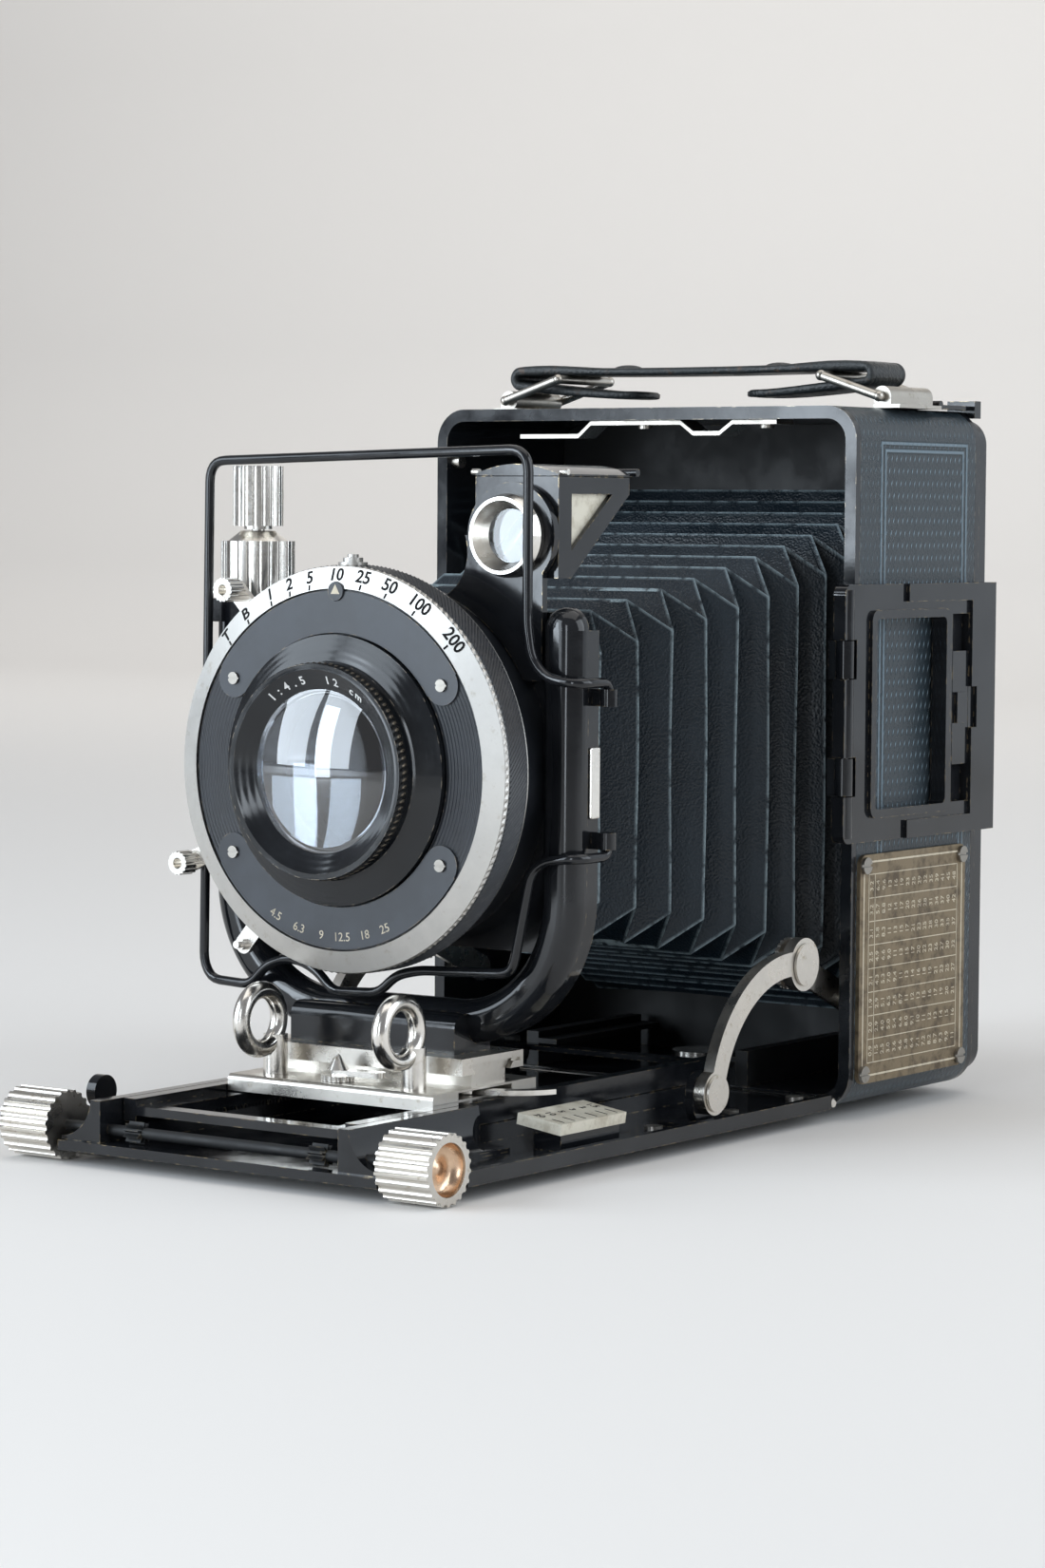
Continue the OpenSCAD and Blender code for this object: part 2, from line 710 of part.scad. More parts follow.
module pinion_outline() {
    tip = pinion_r + rack_root - 0.12;
    root = axle_r + 0.1;
    circle(root);
    for (i = [0:pinion_teeth - 1]) rotate(90 + i * 360 / pinion_teeth)
        polygon([[root - 0.3, -0.26], [tip, -0.1], [tip, 0.1], [root - 0.3, 0.26]]);
}

module focus_axle() color(nickel) at_front() translate([0, -axle_a, axle_z]) {
    x_rod(axle_r, -knob_x, knob_x);
    pair() x_slab(rail_in - ledge_w - 0.2, rail_in - ledge_w + rack_w + 0.2) pinion_outline();
}

module focus_knobs() color(nickel) at_front() translate([0, -axle_a, axle_z]) pair() difference() {
    x_slab(knob_x, knob_x + knob_len) fluted(knob_d / 2, 22, 0.7);
    x_rod(knob_d / 2 - 1.6, knob_x + knob_len - 2.6, knob_x + knob_len + 1);
}

// Small lever behind the left knob that locks the axle
lock_x = [-guide_out - 3.4, -guide_out - 1.4];
lock_y = knob_d / 2 + 4.2 - axle_a;
lock_z = bed_t + 2.2;

module focus_lock() color(black) at_front() translate([0, lock_y, 0]) {
    x_slab(lock_x[0], lock_x[1]) {
        link([0, lock_z], [0, lock_z + 4], 1.7);
        translate([0, lock_z + 4.6]) circle(3);
    }
    translate([0, 0, lock_z]) x_rod(1, lock_x[1] - 0.2, -guide_out - 0.1);
}

// Standard

module dovetail(grow) {
    half = tail_w / 2 + grow;
    polygon([
        [-tail_a - half, base_top - 0.01], [-tail_a + half, base_top - 0.01],
        [-tail_a + half, block_z - 0.01], [-tail_a + half + 1.4, block_z + tail_h - 2.4 + grow],
        [-tail_a - half - 1.4, block_z + tail_h - 2.4 + grow], [-tail_a - half, block_z - 0.01]
    ]);
}

clamp_at = [base_w / 2 - 4.6, 15.5 - base_a];
clamp_z = base_z + 1.5;
clamp_t = 0.9;

module standard_base() color(nickel) at_front() difference() {
    union() {
        x_slab(-base_w / 2, base_w / 2) {
            translate([1 - base_a, base_z]) square([base_d - 1, base_t]);
            translate([-base_a, base_z]) square([base_d, base_t - 1]);
            translate([1 - base_a, base_top - 1]) circle(1);
        }
        x_slab(-base_w / 2 + 1, base_w / 2 - 1) dovetail(0);
    }
    translate(clamp_at) box([-3.6, -8, clamp_z - slip], [9, 8, clamp_z + clamp_t + slip]);
    for (s = [-1, 1]) translate([s * grip_x, -post_a, 0]) z_rod(post_r - 0.5, base_top - 1.5, base_top + 1);
}

grip_x = 15.6;
grip_a = base_a;
grip_tube = 1.6;
grip_z = base_top + 10.4;
post_a = base_a - 4.4;
post_r = 2.2;

module grip_rings() color(nickel) at_front() pair() {
    translate([grip_x, -grip_a, grip_z]) rotate([0, 90, 0]) rotate_extrude()
        translate([grip_d / 2 - grip_tube, 0]) circle(grip_tube);
    translate([grip_x, -post_a, 0]) z_rod(post_r, base_top, grip_z - 3);
}

// Curved blade that clamps the base to the rails
module clamp_lever() color(nickel) at_front() translate(clamp_at) z_slab(clamp_z, clamp_z + clamp_t) {
    circle(2.6);
    translate([2, 12]) sector(10.4, 13, -90, -18);
}

lock_at = [-1.5, 4.6 - base_a];

module shift_lock() color(nickel) at_front() translate([lock_at.x, lock_at.y, base_top + 0.1]) {
    z_slab(0, 1) fluted(3, 20, 0.35);
    z_slab(1, 2) link([0, 0], [8, 1.2], 1.4);
    translate([0, 0, 2]) cylinder(r1 = 2, r2 = 0.4, h = 2.6);
}

module shift_block() color(nickel) at_front() difference() {
    x_slab(-base_w / 2, base_w / 2) difference() {
        translate([-block_a - block_d, block_z]) square([block_d, block_t]);
        dovetail(slip);
    }
    pair() box([base_w / 2 - 0.6, -block_a - block_d + 2, block_z + 1.2], [base_w, -block_a - 1, block_z + 1.8]);
}

// Section of a yoke arm: width, and forward distance with a rounded front
module arm_section(w) {
    r = 3.4;
    translate([0, yoke_a]) intersection() {
        square([w, arm_d]);
        union() {
            square([w, arm_d - r]);
            translate([r, 0]) square([w - 2 * r, arm_d]);
            for (u = [r, w - r]) translate([u, arm_d - r]) circle(r);
        }
    }
}

module yoke_side() {
    translate([arm_in, 0, bend_z]) linear_extrude(arm_top - bend_z) mirror([0, 1]) arm_section(arm_w);
    translate([bend_x, 0, bend_z]) rotate([90, 0, 0]) rotate([0, 0, -90]) rotate_extrude(angle = 90)
        translate([bend_r - arm_w, 0]) arm_section(arm_w);
    x_slab(0, bend_x) translate([0, bend_z - bend_r + arm_w]) mirror([1, 0]) rotate(-90) arm_section(arm_w);
    translate([bend_x, 0, bend_z]) rotate([90, 0, 0]) rotate([0, 0, -90]) rotate_extrude(angle = 90)
        translate([bend_r - guide_t - 0.4, yoke_a - guide_d]) square([guide_t, guide_d]);
    box([yoke_x - guide_t - 0.4, -yoke_a, bend_z], [yoke_x - 0.4, guide_d - yoke_a, arm_top]);
    box([yoke_x - guide_t - 2, guide_d - lip_t - yoke_a, bend_z], [yoke_x - 0.4, guide_d - yoke_a, arm_top]);
}

module standard_yoke() color(black) at_front() {
    foot_w = 18.5;
    pair() yoke_side();
    translate([arm_in + arm_w / 2, 0, arm_top]) y_lathe(180) intersection() {
        translate([-arm_w / 2, 0]) arm_section(arm_w);
        translate([0, yoke_a]) square(arm_w);
    }
    x_slab(-foot_w, foot_w) translate([0, foot_z]) {
        translate([-yoke_a - 8.4, 0]) square([10.8, 4.6]);
        translate([-yoke_a - 6, 0]) square([8.4, 7]);
        translate([-yoke_a - 6, 4.6]) circle(2.4);
    }
    difference() {
        box([-yoke_x, -yoke_a - arm_d, arm_top], [-notch_x - 0.3, guide_d + 1 - yoke_a, cap_z]);
        translate([rise_x, -rise_a, 0]) z_rod(screw_r + run, arm_top - 1, cap_z + 1);
    }
}

// Two hinge ears of the wire frame on the right arm
module wire_hinge() color(black) at_front() {
    ear_h = 3;
    ear_gap = wire_r + clear;
    for (low = [wire_low_z + ear_gap, wire_top_z - ear_gap - ear_h]) difference() {
        union() {
            translate([wire_hinge_x, -wire_hinge_a, 0]) z_rod(hinge_barrel_r, low, low + ear_h);
            box([yoke_x - 0.4 + run, -wire_hinge_a - 0.7, low], [wire_hinge_x, 0.7 - wire_hinge_a, low + ear_h]);
        }
        translate([wire_hinge_x, -wire_hinge_a, 0]) z_rod(wire_r + run, low - 1, low + ear_h + 1);
    }
}

knob_up = [cap_z + 13.4, cap_z + 24.4];
collar = [cap_z + 0.4, cap_z + 10.6];
collar_r = 6.8;
collar_in = rise_x + collar_r + clear;

module rise_screw() color(nickel) at_front() translate([rise_x, -rise_a, 0]) {
    z_rod(screw_r, nut_z + nut_h - 2, knob_up[0]);
    z_rod(2.6, collar[1] + 2.2, knob_up[0]);
    z_slab(knob_up[0], knob_up[1]) fluted(4.7, 18, 0.5);
}

module rise_collar() color(nickel) at_front() translate([rise_x, -rise_a, 0]) difference() {
    union() {
        z_slab(collar[0], collar[1]) fluted(collar_r, 22, 0.55);
        translate([0, 0, collar[1]]) cylinder(r1 = 5.6, r2 = 3.2, h = 1.9);
    }
    z_rod(screw_r + 2 * run, 0, collar[1] + 9);
}

// Lens panel, which rises in the yoke's channels, with the nut of the rise screw

module lens_panel() color(black) at_front() difference() {
    union() {
        y_slab(panel_a, panel_a + panel_t) difference() {
            polygon([
                [6 - panel_x, panel_z], [panel_x - 6, panel_z], [panel_x, bend_z], [panel_x, panel_top - 5],
                [panel_x - 4, panel_top], [collar_in, panel_top], [collar_in, panel_top - 12],
                [-notch_x, panel_top - 12], [-notch_x, nut_z + nut_h], [-panel_x, nut_z + nut_h], [-panel_x, bend_z]
            ]);
            translate([0, lens_z]) circle(cell_bore + 0.5);
        }
        box([rise_x - screw_r - 0.8, 0.1 - yoke_a, nut_z], [-notch_x, 3.6 - yoke_a, nut_z + nut_h]);
    }
    translate([rise_x, -rise_a, 0]) z_rod(screw_r + run, nut_z - 1, nut_z + nut_h + 1);
}

// Room for the shutter case beside the finder's plate
module case_room() translate([0, 0, lens_z]) y_rod(case_back_r + clear, panel_a, slot_a);

// Plate that carries the reflecting finder, waisted above the shutter
module finder_neck() color(black) at_front() {
    low = panel_top - 12;
    half = 10;
    edge = arm_in - clear;
    difference() {
        y_slab(neck_a, neck_a + neck_t) difference() {
            union() {
                translate([finder_x, finder_z]) circle(half - 0.6);
                translate([12, low]) square([edge - 12, finder_z - low]);
            }
            translate([finder_x - half - 8, finder_z - 3]) circle(8.6);
            translate([finder_x, finder_z]) circle(finder_hole + run);
        }
        y_slab(neck_a - 1, neck_a + 9) translate([finder_x + half + 6, finder_z + 1]) circle(6.6);
        case_room();
    }
    difference() {
        box([14, -neck_a, low], [edge, -panel_a - panel_t, panel_top - 4]);
        case_room();
    }
}

// Shutter

module shutter_case() color(black) at_lens() y_lathe() difference() {
    union() {
        translate([cell_bore, case_a]) square([case_back_r - cell_bore, slot_a - case_a]);
        translate([cell_bore, slot_a]) square([hub_r - cell_bore, slot_d]);
        translate([cell_bore, ring_a]) square([case_r - cell_bore, face_a - ring_a]);
    }
}

module speed_ring() color("#d8d4cb") at_lens() {
    bore = case_r + 2 * run;
    back = ring_a + 0.1;
    stud_a = (back + ring_front) / 2;
    y_lathe() polygon([[bore, back], [ring_r, back], [ring_r, ring_front], [bore, ring_front + ring_cone]]);
    translate([0, -stud_a, 0]) {
        z_rod(2.6, ring_r - 0.4, ring_r + 0.7);
        z_rod(1.8, ring_r, ring_r + 1.5);
        z_rod(1, ring_r, ring_r + 2.1);
    }
}

module shutter_face() color(black) at_lens() y_lathe()
    translate([lens_flange_r + 0.2, face_a]) square([case_r - lens_flange_r - 0.3, 0.5]);

plate_in = lens_flange_r + 0.3;
plate_out = case_r - 0.3;
ear_r = (plate_in + plate_out) / 2;
ear_angles = [34, 146, 214, 326];

// Two crescent plates on the shutter's face
module face_plates() color("#24272b") at_lens() y_slab(face_a + 0.5, face_a + 0.9) {
    sector(plate_in, plate_out, ear_angles[0], ear_angles[1]);
    sector(plate_in, plate_out, ear_angles[2], ear_angles[3]);
    for (t = ear_angles) rotate(t) translate([ear_r, 0]) circle((plate_out - plate_in) / 2 - 0.2);
}

module face_screws() color(nickel) at_lens() for (t = ear_angles)
    translate([ear_r * cos(t), -face_a - 0.9, ear_r * sin(t)]) slotted_head(1.1, 0.5, 0.35);

module lens_barrel() color(black) at_lens() y_lathe() polygon([
    [glass_r + run, slot_a + 2], [cell_bore - run, slot_a + 2], [cell_bore - run, face_a],
    [lens_flange_r, face_a], [lens_flange_r, face_a + 1.7], [lens_flange_r - 2.6, face_a + 2.6],
    [rim_r + 0.4, face_a + 3.2], [rim_r, face_a + 3.4], [rim_r, lens_front], [rim_r - 1, lens_front],
    [glass_r + 0.9, lens_front - 2.4], [glass_r + run, lens_front - 3.2]
]);

module front_glass() color(glass) at_lens() intersection() {
    bulge = 30;
    y_rod(glass_r, face_a - 2, lens_front);
    translate([0, bulge - lens_front + 2.2, 0]) sphere(bulge, $fn = 128);
}

module iris_diaphragm() color("#2b2d30") at_lens() y_slab(case_a + 4, case_a + 4.8) difference() {
    circle(cell_bore - run);
    circle(8, $fn = 10);
}

cell_back = 10;
module rear_cell() color(black) at_lens() y_lathe() polygon([
    [12, panel_a - cell_back], [cell_bore - 1, panel_a - cell_back], [cell_bore + 1.6, panel_a - 2.4],
    [cell_bore + 1.6, panel_a - run], [cell_bore - run, panel_a - run], [cell_bore - run, case_a + 3.9], [12, case_a + 3.9]
]);

module rear_glass() color(glass) at_lens() y_rod(12 - run, panel_a - cell_back + 0.6, panel_a - cell_back + 3.6);

// Lever that turns in the slot behind the ring, with a finger piece at its end
module slot_lever(angle, half_angle, reach) {
    a0 = slot_a + (slot_d - lever_t) / 2;
    y_slab(a0, a0 + lever_t) {
        sector(hub_r + run, case_r + 1.4, angle - half_angle, angle + half_angle);
        link([case_r * cos(angle), case_r * sin(angle)], [reach * cos(angle), reach * sin(angle)], 1.8);
    }
    translate([reach * cos(angle), 0, reach * sin(angle)]) children();
}

finger_a = slot_a + (slot_d + lever_t) / 2;
finger_r = ring_r + 7.5;

module finger_tube() difference() {
    y_slab(finger_a, finger_a + 3.6) fluted(2.2, 16, 0.3);
    y_rod(1, finger_a + 0.6, finger_a + 9);
}

module cocking_lever() color(nickel) at_lens() slot_lever(134, 14, finger_r) finger_tube();
module release_lever() color(nickel) at_lens() slot_lever(205, 5, finger_r + 1.5) finger_tube();

module aperture_lever() color(nickel) at_lens() slot_lever(230, 5, finger_r) {
    y_rod(1.1, finger_a, finger_a + 1.2);
    y_rod(0.7, finger_a, finger_a + 2.2);
}

// Reflecting finder

module finder_side_outline() polygon([
    [-finder_front, finder_z - finder_low], [-finder_front, finder_top_z],
    [finder_back - finder_front, finder_top_z], [finder_back - finder_front, finder_top_z - 3],
    [4 - finder_front, finder_z - finder_low]
]);

module finder_inner_outline() polygon([
    [finder_t - finder_front, finder_z - finder_low + finder_t], [finder_t - finder_front, finder_top_z + 1],
    [finder_back - finder_t - finder_front, finder_top_z + 1],
    [finder_back - finder_t - finder_front, finder_top_z - 2.8], [3.6 - finder_front, finder_z - finder_low + finder_t]
]);

module finder_body() color(black) at_front() difference() {
    translate([finder_x, 0, 0]) x_slab(-finder_w / 2, finder_w / 2) finder_side_outline();
    translate([finder_x, 0, 0]) x_slab(finder_t - finder_w / 2, finder_w / 2 - finder_t) finder_inner_outline();
    translate([finder_x, 0, finder_z]) y_rod(finder_hole + run, finder_front - 2, finder_front + 1);
    translate([finder_x, 0, 0]) x_slab(-finder_w, finder_w) polygon([
        [4 - finder_front, finder_top_z - 3], [16.6 - finder_front, finder_top_z - 3], [4 - finder_front, finder_z - 2.6]
    ]);
}

module finder_ring() color(nickel) at_front() translate([finder_x, 0, finder_z]) y_lathe() polygon([
    [4.8, finder_front - finder_t], [finder_hole, finder_front - finder_t], [finder_hole, neck_a + neck_t + 0.1],
    [7.4, neck_a + neck_t + 0.1], [7.4, neck_a + neck_t + 1.2], [6.8, wire_a - wire_r - clear],
    [6.2, wire_a - wire_r - clear], [4.8, neck_a + neck_t]
]);

module finder_glass() color(glass) at_front() {
    translate([finder_x, 0, finder_z]) y_rod(4.8 - run, neck_a - 0.4, neck_a + 1.4);
    translate([finder_x, 0, 0]) x_slab(finder_t + run - finder_w / 2, finder_w / 2 - finder_t - run)
        translate([finder_t + run - finder_front, finder_top_z - 1.4]) square([finder_back - 2 * finder_t - 2 * run, 1.2]);
}

module finder_mirror() color("#dfe5e8") at_front() translate([finder_x, 0, 0])
    x_slab(finder_t + run - finder_w / 2, finder_w / 2 - finder_t - run) polygon([
        [3.4 - finder_front, finder_z - finder_low + finder_t + 0.1],
        [finder_back - finder_t - 0.3 - finder_front, finder_top_z - 2.6],
        [finder_back - finder_t - 1.6 - finder_front, finder_top_z - 2.6],
        [2.2 - finder_front, finder_z - finder_low + finder_t + 0.1]
    ]);

lid_pin_y = finder_back - finder_front + 1.5;
lid_pin_z = finder_top_z + 0.9;

// Arched cover of the finder with its hinge pin at the back
module finder_lid() color(black) at_front() translate([finder_x, 0, 0]) {
    arch_r = 24;
    rise = 2.2;
    difference() {
        intersection() {
            translate([0, 0, finder_top_z + rise - arch_r]) y_rod(arch_r, finder_front - finder_back - 1, finder_front);
            box([-finder_w / 2, -finder_front, finder_top_z + 0.15], [finder_w / 2, finder_back + 1 - finder_front, finder_top_z + rise]);
        }
        translate([0, 0, finder_top_z + rise - arch_r - 0.8]) y_rod(arch_r, finder_front - finder_back, finder_front - 0.8);
    }
    translate([0, lid_pin_y, lid_pin_z]) x_rod(0.7, -finder_w / 2 - 0.8, finder_w / 2 + 0.8);
}

// Wire frame, hooked round the right arm to its hinge

function frame_point(x, z) = [x, -wire_a, z];

module wire_frame() color(black) at_front() {
    left = 0.6 - yoke_x;
    right = arm_in - 0.4;
    hook_x = wire_hinge_x;
    upper = [
        [hook_x, -wire_hinge_a, wire_top_z - 4], [hook_x, -wire_hinge_a, wire_top_z],
        [hook_x, 1.6 - wire_a, wire_top_z], [hook_x - 1.8, -wire_a, wire_top_z],
        frame_point(right + 4, wire_top_z + 0.8), frame_point(right + 1, wire_top_z + 4),
        frame_point(right, wire_top_z + 10), frame_point(right, 121.4), frame_point(right - 2, 123.4)
    ];
    outer = [
        frame_point(left + 3, 121.6), frame_point(left + 1.2, 119.6), frame_point(left, 29),
        frame_point(left + 2, 26), frame_point(-29.4, 25.6), frame_point(-25.6, 29.4), frame_point(-21.6, 31),
        frame_point(-17.2, 30.8), frame_point(-13.4, 29), frame_point(-10, 25.7), frame_point(0.4, 26.2),
        frame_point(4.4, 29.7), frame_point(9.6, 30.9), frame_point(right - 4, 31.6), frame_point(right - 2.4, 33)
    ];
    lower = [
        frame_point(right, wire_low_z - 8), frame_point(right + 1, wire_low_z - 3), frame_point(right + 4, wire_low_z - 0.6),
        [hook_x - 1.8, -wire_a, wire_low_z], [hook_x, 1.6 - wire_a, wire_low_z],
        [hook_x, -wire_hinge_a, wire_low_z], [hook_x, -wire_hinge_a, wire_low_z + 4]
    ];
    wire(concat(upper, outer, lower), wire_r, $fn = 12);
}

body_shell();
leather_cover();
tripod_bushes();
bellows_frame();
body_rails();
bed_catch();
bed_plate();
bed_hinge_pin();
track_guides();
bed_brackets();
strut_arms();
strut_rivets();
distance_scale();
strap_lugs();
strap_rings();
strap_handle();
table_plate();
table_screws();
sight_hinge();
back_frame();
ground_glass();
bellows();
focus_track();
focus_axle();
focus_knobs();
focus_lock();
standard_base();
grip_rings();
clamp_lever();
shift_lock();
shift_block();
standard_yoke();
wire_hinge();
rise_screw();
rise_collar();
lens_panel();
finder_neck();
shutter_case();
shutter_face();
face_plates();
face_screws();
lens_barrel();
front_glass();
iris_diaphragm();
rear_cell();
rear_glass();
speed_ring();
cocking_lever();
release_lever();
aperture_lever();
finder_body();
finder_ring();
finder_glass();
finder_mirror();
finder_lid();
wire_frame();
rear_sight();
sight_slider();
back_latch();
hood_lid();
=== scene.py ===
import math
import random
import bmesh
import bpy
from mathutils import Matrix, Vector


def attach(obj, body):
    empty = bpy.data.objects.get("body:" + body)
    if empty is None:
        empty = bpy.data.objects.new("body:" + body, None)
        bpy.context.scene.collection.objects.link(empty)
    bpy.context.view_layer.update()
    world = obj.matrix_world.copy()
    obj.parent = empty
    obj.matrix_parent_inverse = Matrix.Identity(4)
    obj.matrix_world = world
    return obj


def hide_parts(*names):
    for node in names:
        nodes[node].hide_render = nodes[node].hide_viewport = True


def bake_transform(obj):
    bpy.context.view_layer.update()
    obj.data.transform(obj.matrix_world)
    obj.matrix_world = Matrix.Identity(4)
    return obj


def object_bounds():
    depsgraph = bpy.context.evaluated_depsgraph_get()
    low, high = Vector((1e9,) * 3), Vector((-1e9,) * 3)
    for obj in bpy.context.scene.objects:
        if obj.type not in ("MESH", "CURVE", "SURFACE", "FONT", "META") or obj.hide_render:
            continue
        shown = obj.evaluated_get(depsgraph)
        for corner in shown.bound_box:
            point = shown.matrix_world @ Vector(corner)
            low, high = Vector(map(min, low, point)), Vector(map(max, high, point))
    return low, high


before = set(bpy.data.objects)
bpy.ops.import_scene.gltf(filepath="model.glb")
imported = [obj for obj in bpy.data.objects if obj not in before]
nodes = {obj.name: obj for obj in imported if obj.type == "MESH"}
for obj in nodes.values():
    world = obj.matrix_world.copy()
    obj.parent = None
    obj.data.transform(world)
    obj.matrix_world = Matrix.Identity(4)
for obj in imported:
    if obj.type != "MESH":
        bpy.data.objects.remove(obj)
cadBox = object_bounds()
mm = 0.001
frontY = -23.5  # plane of the body's front rim, in millimetres
lensZ = 66.8  # height of the lens axis
print("frame loaded:", len(nodes), "nodes")

# camera and studio
viewpoint = {
    "place": (452.81, -696.29, 112.14), "lens": 95.46, "sensor": 36,  # millimetres
    "azimuth": 35.52, "elevation": 3.71, "roll": 0.40,  # degrees
}


def makeCamera(v):
    a, e, r = (math.radians(v[k]) for k in ("azimuth", "elevation", "roll"))
    back = Vector((math.sin(a) * math.cos(e), -math.cos(a) * math.cos(e), math.sin(e)))
    right = Vector((math.cos(a), math.sin(a), 0))
    up = back.cross(right)
    side = right * math.cos(r) + up * math.sin(r)
    top = up * math.cos(r) - right * math.sin(r)
    data = bpy.data.cameras.new("photoCamera")
    data.lens, data.sensor_width = v["lens"], v["sensor"]
    cam = bpy.data.objects.new("photoCamera", data)
    turn = Matrix((side, top, back)).transposed().to_4x4()
    cam.matrix_world = Matrix.Translation(Vector(v["place"]) * mm) @ turn
    bpy.context.scene.collection.objects.link(cam)
    bpy.context.scene.camera = cam


makeCamera(viewpoint)

studio = {
    "floorZ": cadBox[0].z - 0.0002,
    "paper": (0.80, 0.78, 0.755, 1),
    "paperRough": 0.75,
    "paperX": (-2.8, 2.5),
    "paperY": (-2.5, 1.6),  # level from the front to the start of the sweep
    "sweep": [(0, 0), (0.25, 0.07), (0.43, 0.25), (0.5, 0.5), (0.5, 2.6)],
    "world": (0.93, 0.95, 1.0, 1),
    "worldLevel": 0.26,
    "tints": {
        "window": (0.80, 0.90, 1.0), "strip": (0.84, 0.92, 1.0), "card": (0.86, 0.93, 1.0),
        "top": (1.0, 0.98, 0.95), "wall": (1.0, 0.985, 0.96),
    },
    "lamps": [  # name, place, target, width and height, watts, tint
        ("windowLeft", (-1.20, -1.04, 0.565), (0, -0.08, 0.07), (0.60, 1.14), 9.4, "window"),
        ("windowRight", (-0.66, -1.49, 0.565), (0, -0.08, 0.07), (0.60, 1.14), 9.4, "window"),
        ("lowStrip", (-0.30, -0.62, 0.17), (0, -0.1, 0.07), (0.10, 0.33), 0.6, "window"),
        ("nearStrip", (0.16, -0.66, 0.16), (0.04, -0.1, 0.07), (0.08, 0.31), 0.45, "strip"),
        ("rightCard", (1.00, 0.22, 0.52), (0, 0, 0.06), (0.9, 0.9), 6.2, "card"),
        ("sheenCard", (0.80, 0.85, 0.40), (0.05, 0, 0.07), (1.2, 1.0), 2.4, "window"),
        ("topCard", (0.05, 0.0, 1.05), (0, -0.03, 0.05), (1.2, 1.2), 4.8, "top"),
        ("wallWash", (-1.2, 0.9, 1.3), (-1.2, 2.1, 0.55), (2.2, 0.5), 15.0, "wall"),
    ],
}


def layPaper(s):
    bm = bmesh.new()
    front, level = s["paperY"]
    edge = [bm.verts.new((x, front, s["floorZ"])) for x in s["paperX"]]
    run = [bm.edges.new(edge)]
    for y, z in s["sweep"]:
        grown = bmesh.ops.extrude_edge_only(bm, edges=run)["geom"]
        run = [g for g in grown if isinstance(g, bmesh.types.BMEdge)]
        for v in (g for g in grown if isinstance(g, bmesh.types.BMVert)):
            v.co.y, v.co.z = level + y, s["floorZ"] + z
    bmesh.ops.recalc_face_normals(bm, faces=bm.faces)
    for f in bm.faces:
        f.smooth = True
    mesh = bpy.data.meshes.new("paperSweep")
    bm.to_mesh(mesh)
    bm.free()
    sweep = bpy.data.objects.new("paperSweep", mesh)
    bpy.context.scene.collection.objects.link(sweep)
    paper = bpy.data.materials.new("palePaper")
    paper.use_nodes = True
    shader = paper.node_tree.nodes["Principled BSDF"]
    shader.inputs["Base Color"].default_value = s["paper"]
    shader.inputs["Roughness"].default_value = s["paperRough"]
    mesh.materials.append(paper)


def setWorld(s):
    world = bpy.data.worlds.new("studioWorld")
    world.use_nodes = True
    sky = world.node_tree.nodes["Background"]
    sky.inputs["Color"].default_value = s["world"]
    sky.inputs["Strength"].default_value = s["worldLevel"]
    bpy.context.scene.world = world
    bpy.context.scene.view_settings.view_transform = "Standard"


def hangLamps(s):
    for name, place, target, size, watts, tint in s["lamps"]:
        data = bpy.data.lights.new(name, "AREA")
        data.shape = "RECTANGLE"
        data.size, data.size_y = size
        data.energy, data.color = watts, s["tints"][tint]
        lamp = bpy.data.objects.new(name, data)
        lamp.visible_camera = False
        lamp.location = place
        aim = Vector(target) - Vector(place)
        lamp.rotation_euler = aim.to_track_quat("-Z", "Y").to_euler()
        bpy.context.scene.collection.objects.link(lamp)


layPaper(studio)
setWorld(studio)
hangLamps(studio)
print("studio and camera set")


# shader helpers
def calc(tree, op, a, b=None, c=None, clamp=False):
    n = tree.nodes.new("ShaderNodeMath")
    n.operation, n.use_clamp = op, clamp
    for i, v in enumerate((a, b, c)):
        if v is None:
            continue
        if isinstance(v, (int, float)):
            n.inputs[i].default_value = v
        else:
            tree.links.new(v, n.inputs[i])
    return n.outputs[0]


def ramp(tree, value, low, high):
    n = tree.nodes.new("ShaderNodeMapRange")
    n.interpolation_type = "SMOOTHSTEP"
    tree.links.new(value, n.inputs["Value"])
    n.inputs["From Min"].default_value = low
    n.inputs["From Max"].default_value = high
    return n.outputs[0]


def shade(colour, factor, lift=0.0):
    return tuple(c * factor + lift for c in colour)


def blendColour(tree, mask, a, b):
    n = tree.nodes.new("ShaderNodeMix")
    n.data_type = "RGBA"
    tree.links.new(mask, n.inputs[0])
    for socket, v in ((n.inputs[6], a), (n.inputs[7], b)):  # the colour sockets
        if isinstance(v, tuple):
            socket.default_value = (*v, 1)
        else:
            tree.links.new(v, socket)
    return n.outputs[2]


def noise(tree, scale, detail, rough=0.5):
    n = tree.nodes.new("ShaderNodeTexNoise")
    n.inputs["Detail"].default_value = detail
    n.inputs["Roughness"].default_value = rough
    if isinstance(scale, (int, float)):
        n.inputs["Scale"].default_value = scale
    else:
        tree.links.new(scale, n.inputs["Scale"])
    tree.links.new(objectPlace(tree), n.inputs["Vector"])
    return n.outputs["Fac"]


def objectPlace(tree):
    n = tree.nodes.get("place") or tree.nodes.new("ShaderNodeTexCoord")
    n.name = "place"
    return n.outputs["Object"]


def split(tree, vector):
    n = tree.nodes.new("ShaderNodeSeparateXYZ")
    tree.links.new(vector, n.inputs[0])
    return n.outputs


def faceTurn(tree):  # a face's direction in its own node, the same in every pose
    geo = tree.nodes.new("ShaderNodeNewGeometry")
    n = tree.nodes.new("ShaderNodeVectorTransform")
    n.vector_type, n.convert_from, n.convert_to = "NORMAL", "WORLD", "OBJECT"
    tree.links.new(geo.outputs["True Normal"], n.inputs[0])
    return split(tree, n.outputs[0])


def facesAlong(tree, axis, least):  # 1 where a face looks along an axis, either way
    return calc(tree, "GREATER_THAN", calc(tree, "ABSOLUTE", axis), least)


